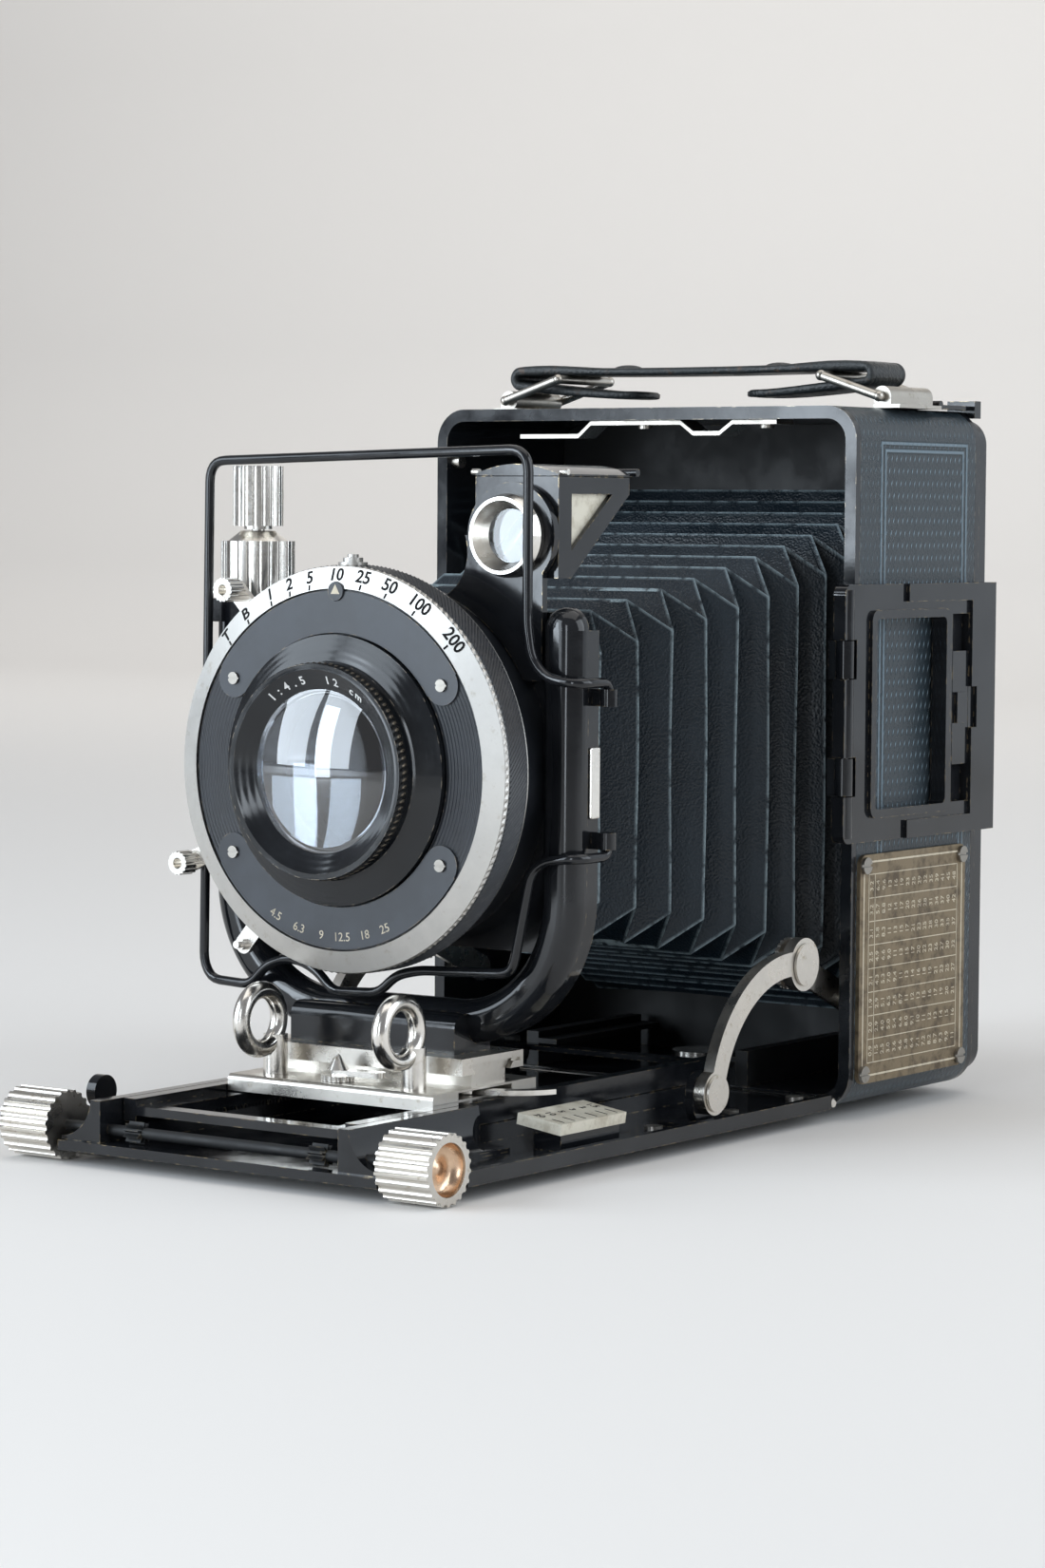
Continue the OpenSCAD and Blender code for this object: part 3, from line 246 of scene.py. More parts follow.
def choose(tree, mask, a, b):  # a where the mask is 1, b where it is 0
    return calc(tree, "MULTIPLY_ADD", calc(tree, "SUBTRACT", a, b), mask, b)


def cellPlace(tree, value, pitch, shift):  # place within a repeat, -0.5 to 0.5
    repeats = calc(tree, "ADD", calc(tree, "DIVIDE", value, pitch), shift)
    return calc(tree, "SUBTRACT", calc(tree, "FRACT", repeats), 0.5)


def insideOf(tree, value, low, high):  # distance to the nearer of two limits
    below = calc(tree, "SUBTRACT", high, value)
    return calc(tree, "MINIMUM", below, calc(tree, "SUBTRACT", value, low))


def lensRadius(tree):  # distance from the lens axis
    x, y, z = split(tree, objectPlace(tree))
    up = calc(tree, "SUBTRACT", z, lensZ * mm)
    across, tall = calc(tree, "MULTIPLY", x, x), calc(tree, "MULTIPLY", up, up)
    return calc(tree, "SQRT", calc(tree, "ADD", across, tall))


def newGroup(name, ins, outs):
    g = bpy.data.node_groups.new(name, "ShaderNodeTree")
    for label, value in ins:
        socket = g.interface.new_socket(label, in_out="INPUT", socket_type="NodeSocketFloat")
        socket.default_value = value
    for label in outs:
        g.interface.new_socket(label, in_out="OUTPUT", socket_type="NodeSocketFloat")
    return g, g.nodes.new("NodeGroupInput").outputs, g.nodes.new("NodeGroupOutput").inputs


def use(tree, group, **values):
    n = tree.nodes.new("ShaderNodeGroup")
    n.node_tree = group
    for k, v in values.items():
        n.inputs[k].default_value = v
    return n.outputs


def edgeWearGroup():  # worn metal on sharp edges, broken up by noise
    ins = [("Radius", 0.0004), ("Scale", 900), ("Amount", 1)]
    g, i, o = newGroup("edgeWear", ins, ["Mask"])
    bevel = g.nodes.new("ShaderNodeBevel")
    bevel.samples = 6
    g.links.new(i["Radius"], bevel.inputs["Radius"])
    geo = g.nodes.new("ShaderNodeNewGeometry")
    dot = g.nodes.new("ShaderNodeVectorMath")
    dot.operation = "DOT_PRODUCT"
    g.links.new(bevel.outputs[0], dot.inputs[0])
    g.links.new(geo.outputs["Normal"], dot.inputs[1])
    edge = ramp(g, calc(g, "SUBTRACT", 1.0, dot.outputs["Value"]), 0.02, 0.16)
    patchy = ramp(g, noise(g, i["Scale"], detail=4.0), 0.5, 0.66)
    worn = calc(g, "MULTIPLY", edge, patchy)
    g.links.new(calc(g, "MULTIPLY", worn, i["Amount"], clamp=True), o["Mask"])
    return g


def smudgeGroup():  # slow and fine variation for roughness
    ins = [("Scale", 60), ("Low", 0.2), ("High", 0.4)]
    g, i, o = newGroup("smudges", ins, ["Roughness", "Mask"])
    slow = noise(g, i["Scale"], detail=5.0, rough=0.6)
    mask = ramp(g, slow, 0.32, 0.7)
    span = calc(g, "SUBTRACT", i["High"], i["Low"])
    g.links.new(calc(g, "MULTIPLY_ADD", mask, span, i["Low"]), o["Roughness"])
    g.links.new(mask, o["Mask"])
    return g


def pebbleGroup():  # leather grain
    g, i, o = newGroup("pebbleGrain", [("Scale", 1400), ("Crease", 300)], ["Height"])
    cells = g.nodes.new("ShaderNodeTexVoronoi")
    cells.feature = "SMOOTH_F1"
    g.links.new(objectPlace(g), cells.inputs["Vector"])
    g.links.new(i["Scale"], cells.inputs["Scale"])
    wrinkles = noise(g, i["Crease"], detail=5.0)
    g.links.new(calc(g, "MULTIPLY_ADD", wrinkles, 0.7, cells.outputs["Distance"]), o["Height"])
    return g


def dashGroup():  # raised slanted lozenges of covering leather, on two staggered lattices
    ins = [("Along", 0.00172), ("Rows", 0.00474), ("Slope", 0.88)]
    g, i, o = newGroup("raisedDashes", ins, ["Height"])
    x, y, z = split(g, objectPlace(g))
    turned = faceTurn(g)
    onTop, onBack = facesAlong(g, turned[2], 0.7), facesAlong(g, turned[1], 0.7)
    v, along = choose(g, onTop, x, z), choose(g, onBack, x, y)
    both = None
    for shift in (0.0, 0.5):
        w = cellPlace(g, v, i["Rows"], shift)
        u = cellPlace(g, along, i["Along"], shift)
        slant = calc(g, "MULTIPLY", w, i["Slope"])
        across = calc(g, "ABSOLUTE", calc(g, "SUBTRACT", u, slant))
        reach = calc(g, "MULTIPLY_ADD", across, 1.7, calc(g, "ABSOLUTE", w))
        dash = calc(g, "SUBTRACT", 1.0, ramp(g, reach, 0.1, 0.25))
        both = calc(g, "MAXIMUM", both, dash) if both else dash
    g.links.new(both, o["Height"])
    return g


edgeWear, smudges, pebbles, dashes = edgeWearGroup(), smudgeGroup(), pebbleGroup(), dashGroup()


# finishes
def newMaterial(name, **sockets):
    m = bpy.data.materials.new(name)
    m.use_nodes = True
    shader = m.node_tree.nodes["Principled BSDF"]
    for k, v in sockets.items():
        shader.inputs[k.replace("_", " ")].default_value = v
    return m, m.node_tree, shader


def bump(tree, shader, height, distance):
    n = tree.nodes.new("ShaderNodeBump")
    n.inputs["Strength"].default_value = 1.0
    n.inputs["Distance"].default_value = distance
    tree.links.new(height, n.inputs["Height"])
    tree.links.new(n.outputs[0], shader.inputs["Normal"])


def enamelFinish(name, colour, rough, wearAndHighlight, worn=(0.42, 0.33, 0.2)):
    m, t, s = newMaterial(name, IOR=1.5)
    mask = use(t, edgeWear, Radius=0.00035, Scale=700, Amount=wearAndHighlight)["Mask"]
    rub = use(t, smudges, Scale=90, Low=rough[0], High=rough[1])
    dusty = blendColour(t, rub["Mask"], colour, shade(colour, 1.5, 0.004))
    t.links.new(blendColour(t, mask, dusty, worn), s.inputs["Base Color"])
    t.links.new(mask, s.inputs["Metallic"])
    t.links.new(rub["Roughness"], s.inputs["Roughness"])
    bump(t, s, noise(t, scale=420, detail=2.0), distance=0.00001)
    return m


def nickelFinish(name, colour, stain, rough):
    m, t, s = newMaterial(name, Metallic=1.0)
    rub = use(t, smudges, Scale=140, Low=rough[0], High=rough[1])
    spots = ramp(t, noise(t, scale=520, detail=6.0, rough=0.65), 0.56, 0.74)
    base = blendColour(t, rub["Mask"], colour, shade(colour, 0.9))
    t.links.new(blendColour(t, spots, base, stain), s.inputs["Base Color"])
    t.links.new(rub["Roughness"], s.inputs["Roughness"])
    bump(t, s, noise(t, scale=2600, detail=3.0), distance=0.00001)
    return m


def coverLeather(name, colour, f):  # raised dashes inside a frame of two raised lines, both painted paler as painted highlights
    m, t, s = newMaterial(name, IOR=1.45)
    x, y, z = split(t, objectPlace(t))
    deep = calc(t, "SUBTRACT", y, frontY * mm)
    sideways = facesAlong(t, faceTurn(t)[0], 0.6)
    upright = insideOf(t, z, f["low"], f["high"])
    level = calc(t, "SUBTRACT", f["wide"], calc(t, "ABSOLUTE", x))
    ends = choose(t, sideways, upright, level)
    inset = calc(t, "MINIMUM", insideOf(t, deep, f["front"], f["back"]), ends)
    field = ramp(t, inset, *f["field"])
    nearLine = calc(t, "ABSOLUTE", calc(t, "SUBTRACT", calc(t, "ABSOLUTE", inset), f["gap"]))
    line = calc(t, "SUBTRACT", 1.0, ramp(t, nearLine, *f["line"]))
    depth = calc(t, "MULTIPLY_ADD", field, 0.7, 0.3)  # dashes are fainter outside the frame
    press = calc(t, "MULTIPLY", use(t, dashes)["Height"], depth)
    grain = use(t, pebbles, Scale=2600, Crease=500)["Height"]
    rub = use(t, smudges, Scale=45, Low=0.26, High=0.4)
    worn = use(t, edgeWear, Radius=0.0008, Scale=420, Amount=0.7)["Mask"]
    # painted highlight: the raised dashes are painted many times paler than the ground between
    # them, standing in for glints on their edges
    base = blendColour(t, press, shade(colour, 0.8), shade(colour, 9.5, 0.03))
    dusty = calc(t, "MULTIPLY", rub["Mask"], 0.2)
    base = blendColour(t, dusty, base, shade(colour, 1.75, 0.012))
    # painted highlight: the raised frame lines are painted paler, standing in for light caught on
    # them
    lineHighlight = calc(t, "MULTIPLY", line, 0.8)
    base = blendColour(t, lineHighlight, base, shade(colour, 5.5, 0.02))
    t.links.new(blendColour(t, worn, base, (0.2, 0.21, 0.2)), s.inputs["Base Color"])
    t.links.new(rub["Roughness"], s.inputs["Roughness"])
    relief = calc(t, "ADD", line, press)
    bump(t, s, calc(t, "MULTIPLY_ADD", grain, 0.15, relief), distance=0.0005)
    return m


def foldLeather(name, colour, ridge):  # the attribute marks the fold ridges, which get a painted highlight in patches
    m, t, s = newMaterial(name, IOR=1.45)
    mark = t.nodes.new("ShaderNodeAttribute")
    mark.attribute_name = "ridge"
    grain = use(t, pebbles, Scale=2400, Crease=380)["Height"]
    rub = use(t, smudges, Scale=70, Low=0.3, High=0.5)
    patchy = ramp(t, noise(t, scale=500, detail=4.0), 0.28, 0.56)
    ridgeHighlight = calc(t, "MULTIPLY", mark.outputs["Fac"], patchy)
    base = blendColour(t, rub["Mask"], colour, shade(colour, 1.35))
    # painted highlight: paler colour along the fold ridges, broken up by noise
    t.links.new(blendColour(t, ridgeHighlight, base, ridge), s.inputs["Base Color"])
    t.links.new(rub["Roughness"], s.inputs["Roughness"])
    bump(t, s, grain, distance=0.00013)
    return m


def strapFinish(name, colour, cracked):
    m, t, s = newMaterial(name, IOR=1.45)
    grain = use(t, pebbles, Scale=1900, Crease=200)["Height"]
    rub = use(t, smudges, Scale=110, Low=0.3, High=0.52)
    cracks = ramp(t, noise(t, scale=380, detail=8.0, rough=0.7), 0.57, 0.7)
    base = blendColour(t, rub["Mask"], colour, shade(colour, 1.5))
    t.links.new(blendColour(t, cracks, base, cracked), s.inputs["Base Color"])
    t.links.new(rub["Roughness"], s.inputs["Roughness"])
    bump(t, s, grain, distance=0.00014)
    return m


def turnedBlack(name, colour, rough, pitch, depth, tip=None, worn=(0.46, 0.39, 0.3)):
    m, t, s = newMaterial(name, IOR=1.5)
    wave = calc(t, "SINE", calc(t, "MULTIPLY", lensRadius(t), 2 * math.pi / pitch))  # fine rings
    rub = use(t, smudges, Scale=160, Low=rough[0], High=rough[1])
    mask = use(t, edgeWear, Radius=0.0003, Scale=800, Amount=0.8)["Mask"]
    if tip:  # teeth worn bright beyond this radius
        mask = calc(t, "MAXIMUM", mask, ramp(t, lensRadius(t), tip, tip + 0.00014))
        t.links.new(mask, s.inputs["Metallic"])
    base = blendColour(t, rub["Mask"], colour, shade(colour, 1.5))
    t.links.new(blendColour(t, mask, base, worn), s.inputs["Base Color"])
    t.links.new(rub["Roughness"], s.inputs["Roughness"])
    bump(t, s, wave, distance=depth)
    return m


def glassFinish(name, tint, rough=0.0, coat=0.0):
    m, t, s = newMaterial(
        name, Base_Color=(*tint, 1), IOR=1.6, Transmission_Weight=1.0, Specular_IOR_Level=0.8,
        Coat_Weight=coat, Coat_IOR=1.8, Coat_Roughness=0.02)
    rub = use(t, smudges, Scale=120, Low=rough, High=rough + 0.03)
    t.links.new(rub["Roughness"], s.inputs["Roughness"])
    return m


def plateFinish(name, colour, dark, metallic, rough, gloss=0.5):
    m, t, s = newMaterial(name, Metallic=metallic, Specular_IOR_Level=gloss)
    rub = use(t, smudges, Scale=130, Low=rough, High=rough + 0.2)
    spots = ramp(t, noise(t, scale=330, detail=7.0, rough=0.68), 0.44, 0.68)
    base = blendColour(t, spots, colour, dark)
    t.links.new(base, s.inputs["Base Color"])
    t.links.new(rub["Roughness"], s.inputs["Roughness"])
    bump(t, s, noise(t, scale=1800, detail=3.0), distance=0.00001)
    return m


enamel = enamelFinish("blackEnamel", (0.006, 0.0068, 0.0085), (0.07, 0.17), wearAndHighlight=0.8)
caseEnamel = enamelFinish("caseEnamel", (0.008, 0.0095, 0.012), (0.1, 0.24), wearAndHighlight=0.8,
                          worn=(0.36, 0.31, 0.24))
innerBlack = enamelFinish("innerBlack", (0.0035, 0.0042, 0.005), (0.5, 0.7), wearAndHighlight=0.3)
faceBlack = enamelFinish("facePlateBlack", (0.018, 0.022, 0.029), (0.3, 0.36), wearAndHighlight=0.5)
nickel = nickelFinish("warmNickel", (0.83, 0.80, 0.75), (0.55, 0.5, 0.42), (0.14, 0.3))
# darker nickel: aged, unpolished steel-grey on the strap rings, and painted shade on the bed catch,
# which sits in shadow
agedAndShadedNickel = nickelFinish("agedAndShadedNickel", (0.5, 0.47, 0.42), (0.32, 0.285, 0.23), (0.24, 0.42))
screwSteel = nickelFinish("screwSteel", (0.33, 0.31, 0.28), (0.2, 0.18, 0.15), (0.34, 0.5))
satinNickel = nickelFinish("satinNickel", (0.68, 0.645, 0.59), (0.44, 0.39, 0.31), (0.24, 0.4))
steel = nickelFinish("satinRing", (0.60, 0.585, 0.555), (0.46, 0.43, 0.38), (0.36, 0.48))
copper = nickelFinish("copperEnd", (0.78, 0.55, 0.38), (0.5, 0.32, 0.2), (0.18, 0.34))
coverFrame = {  # metres: limits of the frame, half the gap between its lines, and soft widths
    "front": 0.0102, "back": 0.0412, "high": 0.1254, "low": 0.0066, "wide": 0.0405,
    "gap": 0.0007, "field": (0.0011, 0.0014), "line": (0.0002, 0.00055),
}
cover = coverLeather("coverLeather", (0.026, 0.0385, 0.048), coverFrame)
# the last colour is the painted highlight along the fold ridges
folds = foldLeather("bellowsLeather", (0.006, 0.0122, 0.0185), (0.26, 0.33, 0.36))
strapHide = strapFinish("strapLeather", (0.018, 0.021, 0.022), (0.075, 0.045, 0.028))
ringBlack = (0.014, 0.0165, 0.021)
shutterBlack = turnedBlack("shutterBlack", ringBlack, (0.3, 0.48), pitch=0.0007, depth=0.00004)
knurlBlack = turnedBlack("knurlBlack", ringBlack, (0.3, 0.48), pitch=0.0007, depth=0.00004,
                         worn=(0.1, 0.1, 0.1))
barrelBlack = turnedBlack("barrelBlack", (0.006, 0.0072, 0.009), (0.09, 0.2), pitch=0.0011,
                          depth=0.000004)
millBlack = turnedBlack("milledEdge", (0.008, 0.0085, 0.009), (0.2, 0.36), pitch=0.0011,
                        depth=0.000004, tip=0.01912)
lensGlass = glassFinish("lensGlass", (0.82, 0.9, 1.0), coat=1.0)
finderGlass = glassFinish("finderGlass", (0.86, 0.9, 0.93))
frosted = glassFinish("groundScreen", (0.9, 0.93, 0.94), rough=0.35)
silvered = plateFinish("finderSilver", (0.8, 0.82, 0.83), (0.6, 0.6, 0.58),
                       metallic=1.0, rough=0.05)
tableBrass = plateFinish("tableBrass", (0.235, 0.185, 0.12), (0.11, 0.084, 0.056),
                         metallic=0.8, rough=0.36)
ivory = plateFinish("ivoryScale", (0.72, 0.68, 0.57), (0.52, 0.47, 0.37),
                    metallic=0.25, rough=0.32)
inkBlack = plateFinish("blackFilling", (0.006, 0.006, 0.007), (0.014, 0.013, 0.012),
                       metallic=0.0, rough=0.6, gloss=0.15)
inkPale = plateFinish("paleFilling", (0.62, 0.55, 0.42), (0.42, 0.36, 0.27),
                      metallic=0.0, rough=0.45)
inkWhite = plateFinish("whiteFilling", (0.84, 0.84, 0.82), (0.6, 0.6, 0.58),
                       metallic=0.0, rough=0.45)

finishes = {
    enamel: "bed_plate track_guides bed_brackets sight_hinge focus_track focus_lock wire_hinge "
            "standard_yoke lens_panel finder_neck finder_body finder_lid wire_frame rear_sight "
            "sight_slider back_latch",
    caseEnamel: "body_shell back_frame",
    innerBlack: "bellows_frame body_rails focus_axle",
    cover: "leather_cover hood_lid bellows strap_handle",
    nickel: "tripod_bushes bed_hinge_pin grip_rings clamp_lever shift_lock rise_screw "
            "rise_collar cocking_lever release_lever aperture_lever finder_ring",
    satinNickel: "strut_arms strut_rivets focus_knobs standard_base shift_block",
    # painted shade: the bed catch takes this darker nickel because it sits in shade
    agedAndShadedNickel: "bed_catch strap_lugs strap_rings",
    screwSteel: "table_screws face_screws",
    steel: "speed_ring",
    shutterBlack: "shutter_case shutter_face",
    faceBlack: "face_plates",
    barrelBlack: "lens_barrel rear_cell iris_diaphragm",
    lensGlass: "front_glass",
    finderGlass: "rear_glass finder_glass",
    frosted: "ground_glass",
    silvered: "finder_mirror",
    tableBrass: "table_plate",
    ivory: "distance_scale",
}
softAngle = 40  # degrees, edges sharper than this are softened
softEdges = {  # millimetres
    0.45: "rear_sight body_shell back_frame hood_lid finder_body finder_lid back_latch",
    0.3: "standard_yoke standard_base shift_block track_guides bed_plate strut_arms "
         "strut_rivets strap_lugs lens_panel finder_neck distance_scale focus_lock sight_slider",
    0.15: "table_plate face_plates face_screws table_screws clamp_lever shift_lock bed_catch "
          "bed_brackets lens_barrel shutter_face finder_ring",
}
for finish, names in finishes.items():
    for n in names.split():
        nodes[n].data.materials.clear()
        nodes[n].data.materials.append(finish)
for width, names in softEdges.items():
    for n in names.split():
        edge = nodes[n].modifiers.new("softEdge", "BEVEL")
        edge.width, edge.segments, edge.limit_method = width * mm, 2, "ANGLE"
        edge.angle_limit = math.radians(softAngle)
        edge.use_clamp_overlap = True
print("finishes given to the nodes")


# piece helpers
def finishPiece(name, bm, finish, body, smooth=True, fixNormals=True):
    if fixNormals:
        bmesh.ops.recalc_face_normals(bm, faces=bm.faces)
    for f in bm.faces:
        f.smooth = smooth
    mesh = bpy.data.meshes.new(name)
    bm.to_mesh(mesh)
    bm.free()
    mesh.materials.append(finish)
    piece = bpy.data.objects.new(name, mesh)
    bpy.context.scene.collection.objects.link(piece)
    if body:
        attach(piece, body)
    return piece


def addCrease(piece, degrees):
    crease = piece.modifiers.new("crease", "EDGE_SPLIT")
    crease.split_angle = math.radians(degrees)


def growLoop(bm, loop, places):  # extrudes an edge loop and puts its new vertices in place
    grown = bmesh.ops.extrude_edge_only(bm, edges=loop["edges"])["geom"]
    near = {}
    for v in (g for g in grown if isinstance(g, bmesh.types.BMVert)):
        for e in v.link_edges:
            other = e.other_vert(v)
            if other in loop["index"]:
                near[loop["index"][other]] = v
    verts = [near[i] for i in range(len(near))]
    for v, p in zip(verts, places):
        v.co = p
    edges = [bm.edges.get(pair) for pair in zip(verts, verts[1:] + verts[:1])]
    return {"verts": verts, "edges": edges, "index": {v: i for i, v in enumerate(verts)}}


def startLoop(bm, places):
    verts = [bm.verts.new(p) for p in places]
    edges = [bm.edges.new(pair) for pair in zip(verts, verts[1:] + verts[:1])]
    return {"verts": verts, "edges": edges, "index": {v: i for i, v in enumerate(verts)}}


# bellows
bellowsForm = {
    "pleats": 12, "front": -73.8, "back": 40.95, "middle": 65.4,
    "width": (34.5, 43.5), "height": (28, 52), "depth": 6.5,  # half sizes at front and back
    "flare": 0.15, "crowd": 0.3, "lead": 5, "tuck": 1.6, "wall": 0.8, "crease": 50,
    # ridge and the corner value size the painted highlight along the folds and at the corners
    "wander": 0.5, "waves": (1.7, 2.3, 3), "puff": 0.35, "ridge": 0.06, "cornerHighlight": 0.75,
    "steps": [0, 0.04, 0.1, 0.3, 0.55, 0.8, 0.92, 0.97],  # parts of a fold
    "along": [0, 0.012, 0.07, 0.16, 0.27, 0.38, 0.5, 0.62, 0.73, 0.84, 0.93, 0.988],  # of a side
    "sections": [  # name, first and last fold, and the bodies at its back and its front
        ("bellowsSkin", 6, 24, "body", "standard"),
        ("bellowsNeck", 4, 6, "standard", "yoke"),
        ("bellowsCuff", 0, 4, "yoke", "front"),
    ],
}


def bellowsStation(b, i):  # half width, place and half height of a fold, ridged at the sides if odd
    t = i / (2 * b["pleats"])
    flare, crowd = b["flare"], b["crowd"]
    w = b["width"][0] + (b["width"][1] - b["width"][0]) * t * t
    h = b["height"][0] + (b["height"][1] - b["height"][0]) * t * (1 - flare + flare * t)
    lead = b["lead"] * (1 - t) if i else 0
    y = b["front"] + (b["back"] - b["front"]) * t * (1 + crowd - crowd * t) + lead
    tuck = 0 if i else b["tuck"]  # the front clears the rise collar
    sideIn, topIn = (0, b["depth"]) if i % 2 else (b["depth"], 0)
    return Vector((w - tuck - sideIn, y, h - topIn))


def bellowsRing(b, turn):  # points round one ring with their wear
    i = min(int(turn), 2 * b["pleats"] - 1)
    s = turn - i
    w, y, h = bellowsStation(b, i).lerp(bellowsStation(b, i + 1), s)
    onSide = s if i % 2 == 0 else 1 - s  # 1 on a side ridge, 0 on a top ridge
    puff = b["puff"] * math.sin(math.pi * s)
    byTurn, bySide, byPart = b["waves"]
    corners = [(w, h), (-w, h), (-w, -h), (w, -h)]
    ring = []
    for k, (x, z) in enumerate(corners):
        nx, nz = corners[(k + 1) % 4]
        upright = k % 2 == 1
        # painted highlight: weight of the paler ridge colour, 1 on a fold ridge and falling off
        # over the ridge width; corners take the corner value
        wearAndHighlight = max(0.0, 1 - (1 - onSide if upright else onSide) / b["ridge"])
        for j, f in enumerate(b["along"]):
            soft = math.sin(math.pi * f)
            sag = soft * b["wander"] * math.sin(byTurn * turn + bySide * k + byPart * f)
            swell = puff * min(1, 3 * soft)
            px = x + (nx - x) * f + (math.copysign(swell, x) if upright else 0)
            pz = z + (nz - z) * f + (0 if upright else math.copysign(swell, z))
            place = Vector((px, frontY + y + sag, b["middle"] + pz)) * mm
            ring.append((place, wearAndHighlight if j else b["cornerHighlight"]))
    return ring


def makeBellows(b, name, first, last, backBody, frontBody):
    bm = bmesh.new()
    # this layer carries the weight of the painted ridge highlight
    mark = bm.verts.layers.float.new("ridge")
    loop = None
    turns = [half + s for half in range(first, last) for s in b["steps"]] + [last]
    for turn in turns:
        ring = bellowsRing(b, turn)
        places = [p for p, wearAndHighlight in ring]
        loop = growLoop(bm, loop, places) if loop else startLoop(bm, places)
        for v, (p, wearAndHighlight) in zip(loop["verts"], ring):
            v[mark] = wearAndHighlight
    piece = finishPiece(name, bm, folds, None)
    wall = piece.modifiers.new("wall", "SOLIDIFY")
    wall.thickness, wall.offset = b["wall"] * mm, -1
    addCrease(piece, b["crease"])
    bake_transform(piece)
    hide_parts("bellows")


for section in bellowsForm["sections"]:
    makeBellows(bellowsForm, *section)
print("bellows folded")

# carrying strap
strapForm = {
    "middle": -2, "y": 2.0, "half": 43, "width": 13, "thick": 1.6, "top": 142.0, "crown": -0.5,
    "bend": 2.3, "bendStep": 20, "tab": 12, "tongue": 0.72,
    "under": [(0, 1.15), (4, 1.2), (8, 1.1)], "rise": (12, 0.4),  # along the tab, and its drop
    "shoulder": (8, 0.15), "band": (24, 16, 8), "fat": 0.6, "fatAt": 8, "fatReach": 9,
    "edge": 0.5, "corner": 0.4, "seam": (1.2, 1.5, 1.8), "groove": 0.22, "dome": 1.05,
}
strapStuds = {"x": (-18, 18), "radius": 3.0, "height": 0.9, "sink": 0.15, "segments": (28, 12)}


def strapCrown(s, x):  # the band's sag at a distance from its middle
    return s["crown"] * (1 - (x / (s["half"] - s["bend"])) ** 2)


def strapPath(s):
    mid = s["thick"] / 2
    turnX, turnZ, r = s["half"] - s["bend"], s["top"] - s["bend"], s["bend"] - mid
    low = turnZ - s["bend"]
    side = [(s["tab"] + x, low - drop) for x, drop in s["under"]]
    side += [(turnX - s["rise"][0], low - s["rise"][1])]
    for a in (math.radians(d) for d in range(-90, 91, s["bendStep"])):
        side.append((turnX + r * math.cos(a), turnZ + r * math.sin(a)))
    side += [(turnX - s["shoulder"][0], s["top"] - mid + s["shoulder"][1])]
    side += [(x, s["top"] - mid + strapCrown(s, x)) for x in s["band"]]
    left = [(-x, z) for x, z in reversed(side)]
    return side + [(0, s["top"] - mid + s["crown"])] + left


def strapSection(s):  # across the strap, with a sewn groove along each edge
    half, t = s["width"] / 2, s["thick"] / 2
    near, seam, far = s["seam"]
    top = [(half - s["corner"], t), (half - near, t)]
    top += [(half - seam, t - s["groove"]), (half - far, t)]
    edge = [(half, -t * s["edge"]), (half, t * s["edge"])]
    farSide = [(-y, z) for y, z in reversed(edge + top)]
    under = [(-half + s["corner"], -t), (0, -t), (half - s["corner"], -t)]
    return edge + top + [(0, t * s["dome"])] + farSide + under


def makeStrap(s):
    bm = bmesh.new()
    section, path = strapSection(s), strapPath(s)
    last = len(path) - 1
    loop = None
    for i, (x, z) in enumerate(path):
        before, after = path[max(0, i - 1)], path[min(last, i + 1)]
        along = Vector((after[0] - before[0], 0, after[1] - before[1])).normalized()
        out = Vector((along.z, 0, -along.x))
        narrow = s["tongue"] + (1 - s["tongue"]) * min(1, i / 2, (last - i) / 2)
        swell = 1 + s["fat"] * max(0, 1 - abs(abs(x) - s["half"] + s["fatAt"]) / s["fatReach"])
        centre = Vector((s["middle"] + x, s["y"], z))
        places = [(centre + Vector((0, y * narrow, 0)) + out * q * swell) * mm for y, q in section]
        loop = growLoop(bm, loop, places) if loop else startLoop(bm, places)
        if i in (0, last):
            bmesh.ops.contextual_create(bm, geom=loop["edges"])
    strap = finishPiece("carryStrap", bm, strapHide, "body")
    sub = strap.modifiers.new("soft", "SUBSURF")
    sub.levels = sub.render_levels = 1
    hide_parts("strap_handle")


def makeStuds(s, studs):
    bm = bmesh.new()
    around, high = studs["segments"]
    for x in studs["x"]:
        dome = bmesh.ops.create_uvsphere(
            bm, u_segments=around, v_segments=high, radius=studs["radius"] * mm)["verts"]
        bmesh.ops.scale(bm, vec=(1, 1, studs["height"] / studs["radius"]), verts=dome)
        place = Vector((s["middle"] + x, s["y"], s["top"] + strapCrown(s, x) - studs["sink"]))
        bmesh.ops.translate(bm, vec=place * mm, verts=dome)
    finishPiece("strapStuds", bm, strapHide, "body")


makeStrap(strapForm)
makeStuds(strapForm, strapStuds)
print("strap made")

# raised and filled figures
figureThick = 0.06


def addText(bm, words, size, matrix, bold=0.0):
    curve = bpy.data.curves.new("figure", "FONT")
    curve.body, curve.size, curve.extrude = words, size * mm, figureThick * mm / 2
    curve.align_x, curve.align_y, curve.offset = "CENTER", "CENTER", bold * mm
    curve.resolution_u = 3
    obj = bpy.data.objects.new("figure", curve)
    bpy.context.scene.collection.objects.link(obj)
    shaped = obj.evaluated_get(bpy.context.evaluated_depsgraph_get())
    mesh = bpy.data.meshes.new_from_object(shaped)
    mesh.transform(matrix)
    bm.from_mesh(mesh)
    bpy.data.objects.remove(obj)
    bpy.data.curves.remove(curve)
    bpy.data.meshes.remove(mesh)


def addBar(bm, matrix, width, height):
    made = bmesh.ops.create_cube(bm, size=1.0)["verts"]
    bmesh.ops.scale(bm, vec=(width * mm, height * mm, figureThick * mm), verts=made)
    bmesh.ops.transform(bm, matrix=matrix, verts=made)


def finishFigures(name, bm, finish, body):
    finishPiece(name, bm, finish, body, smooth=False, fixNormals=False)


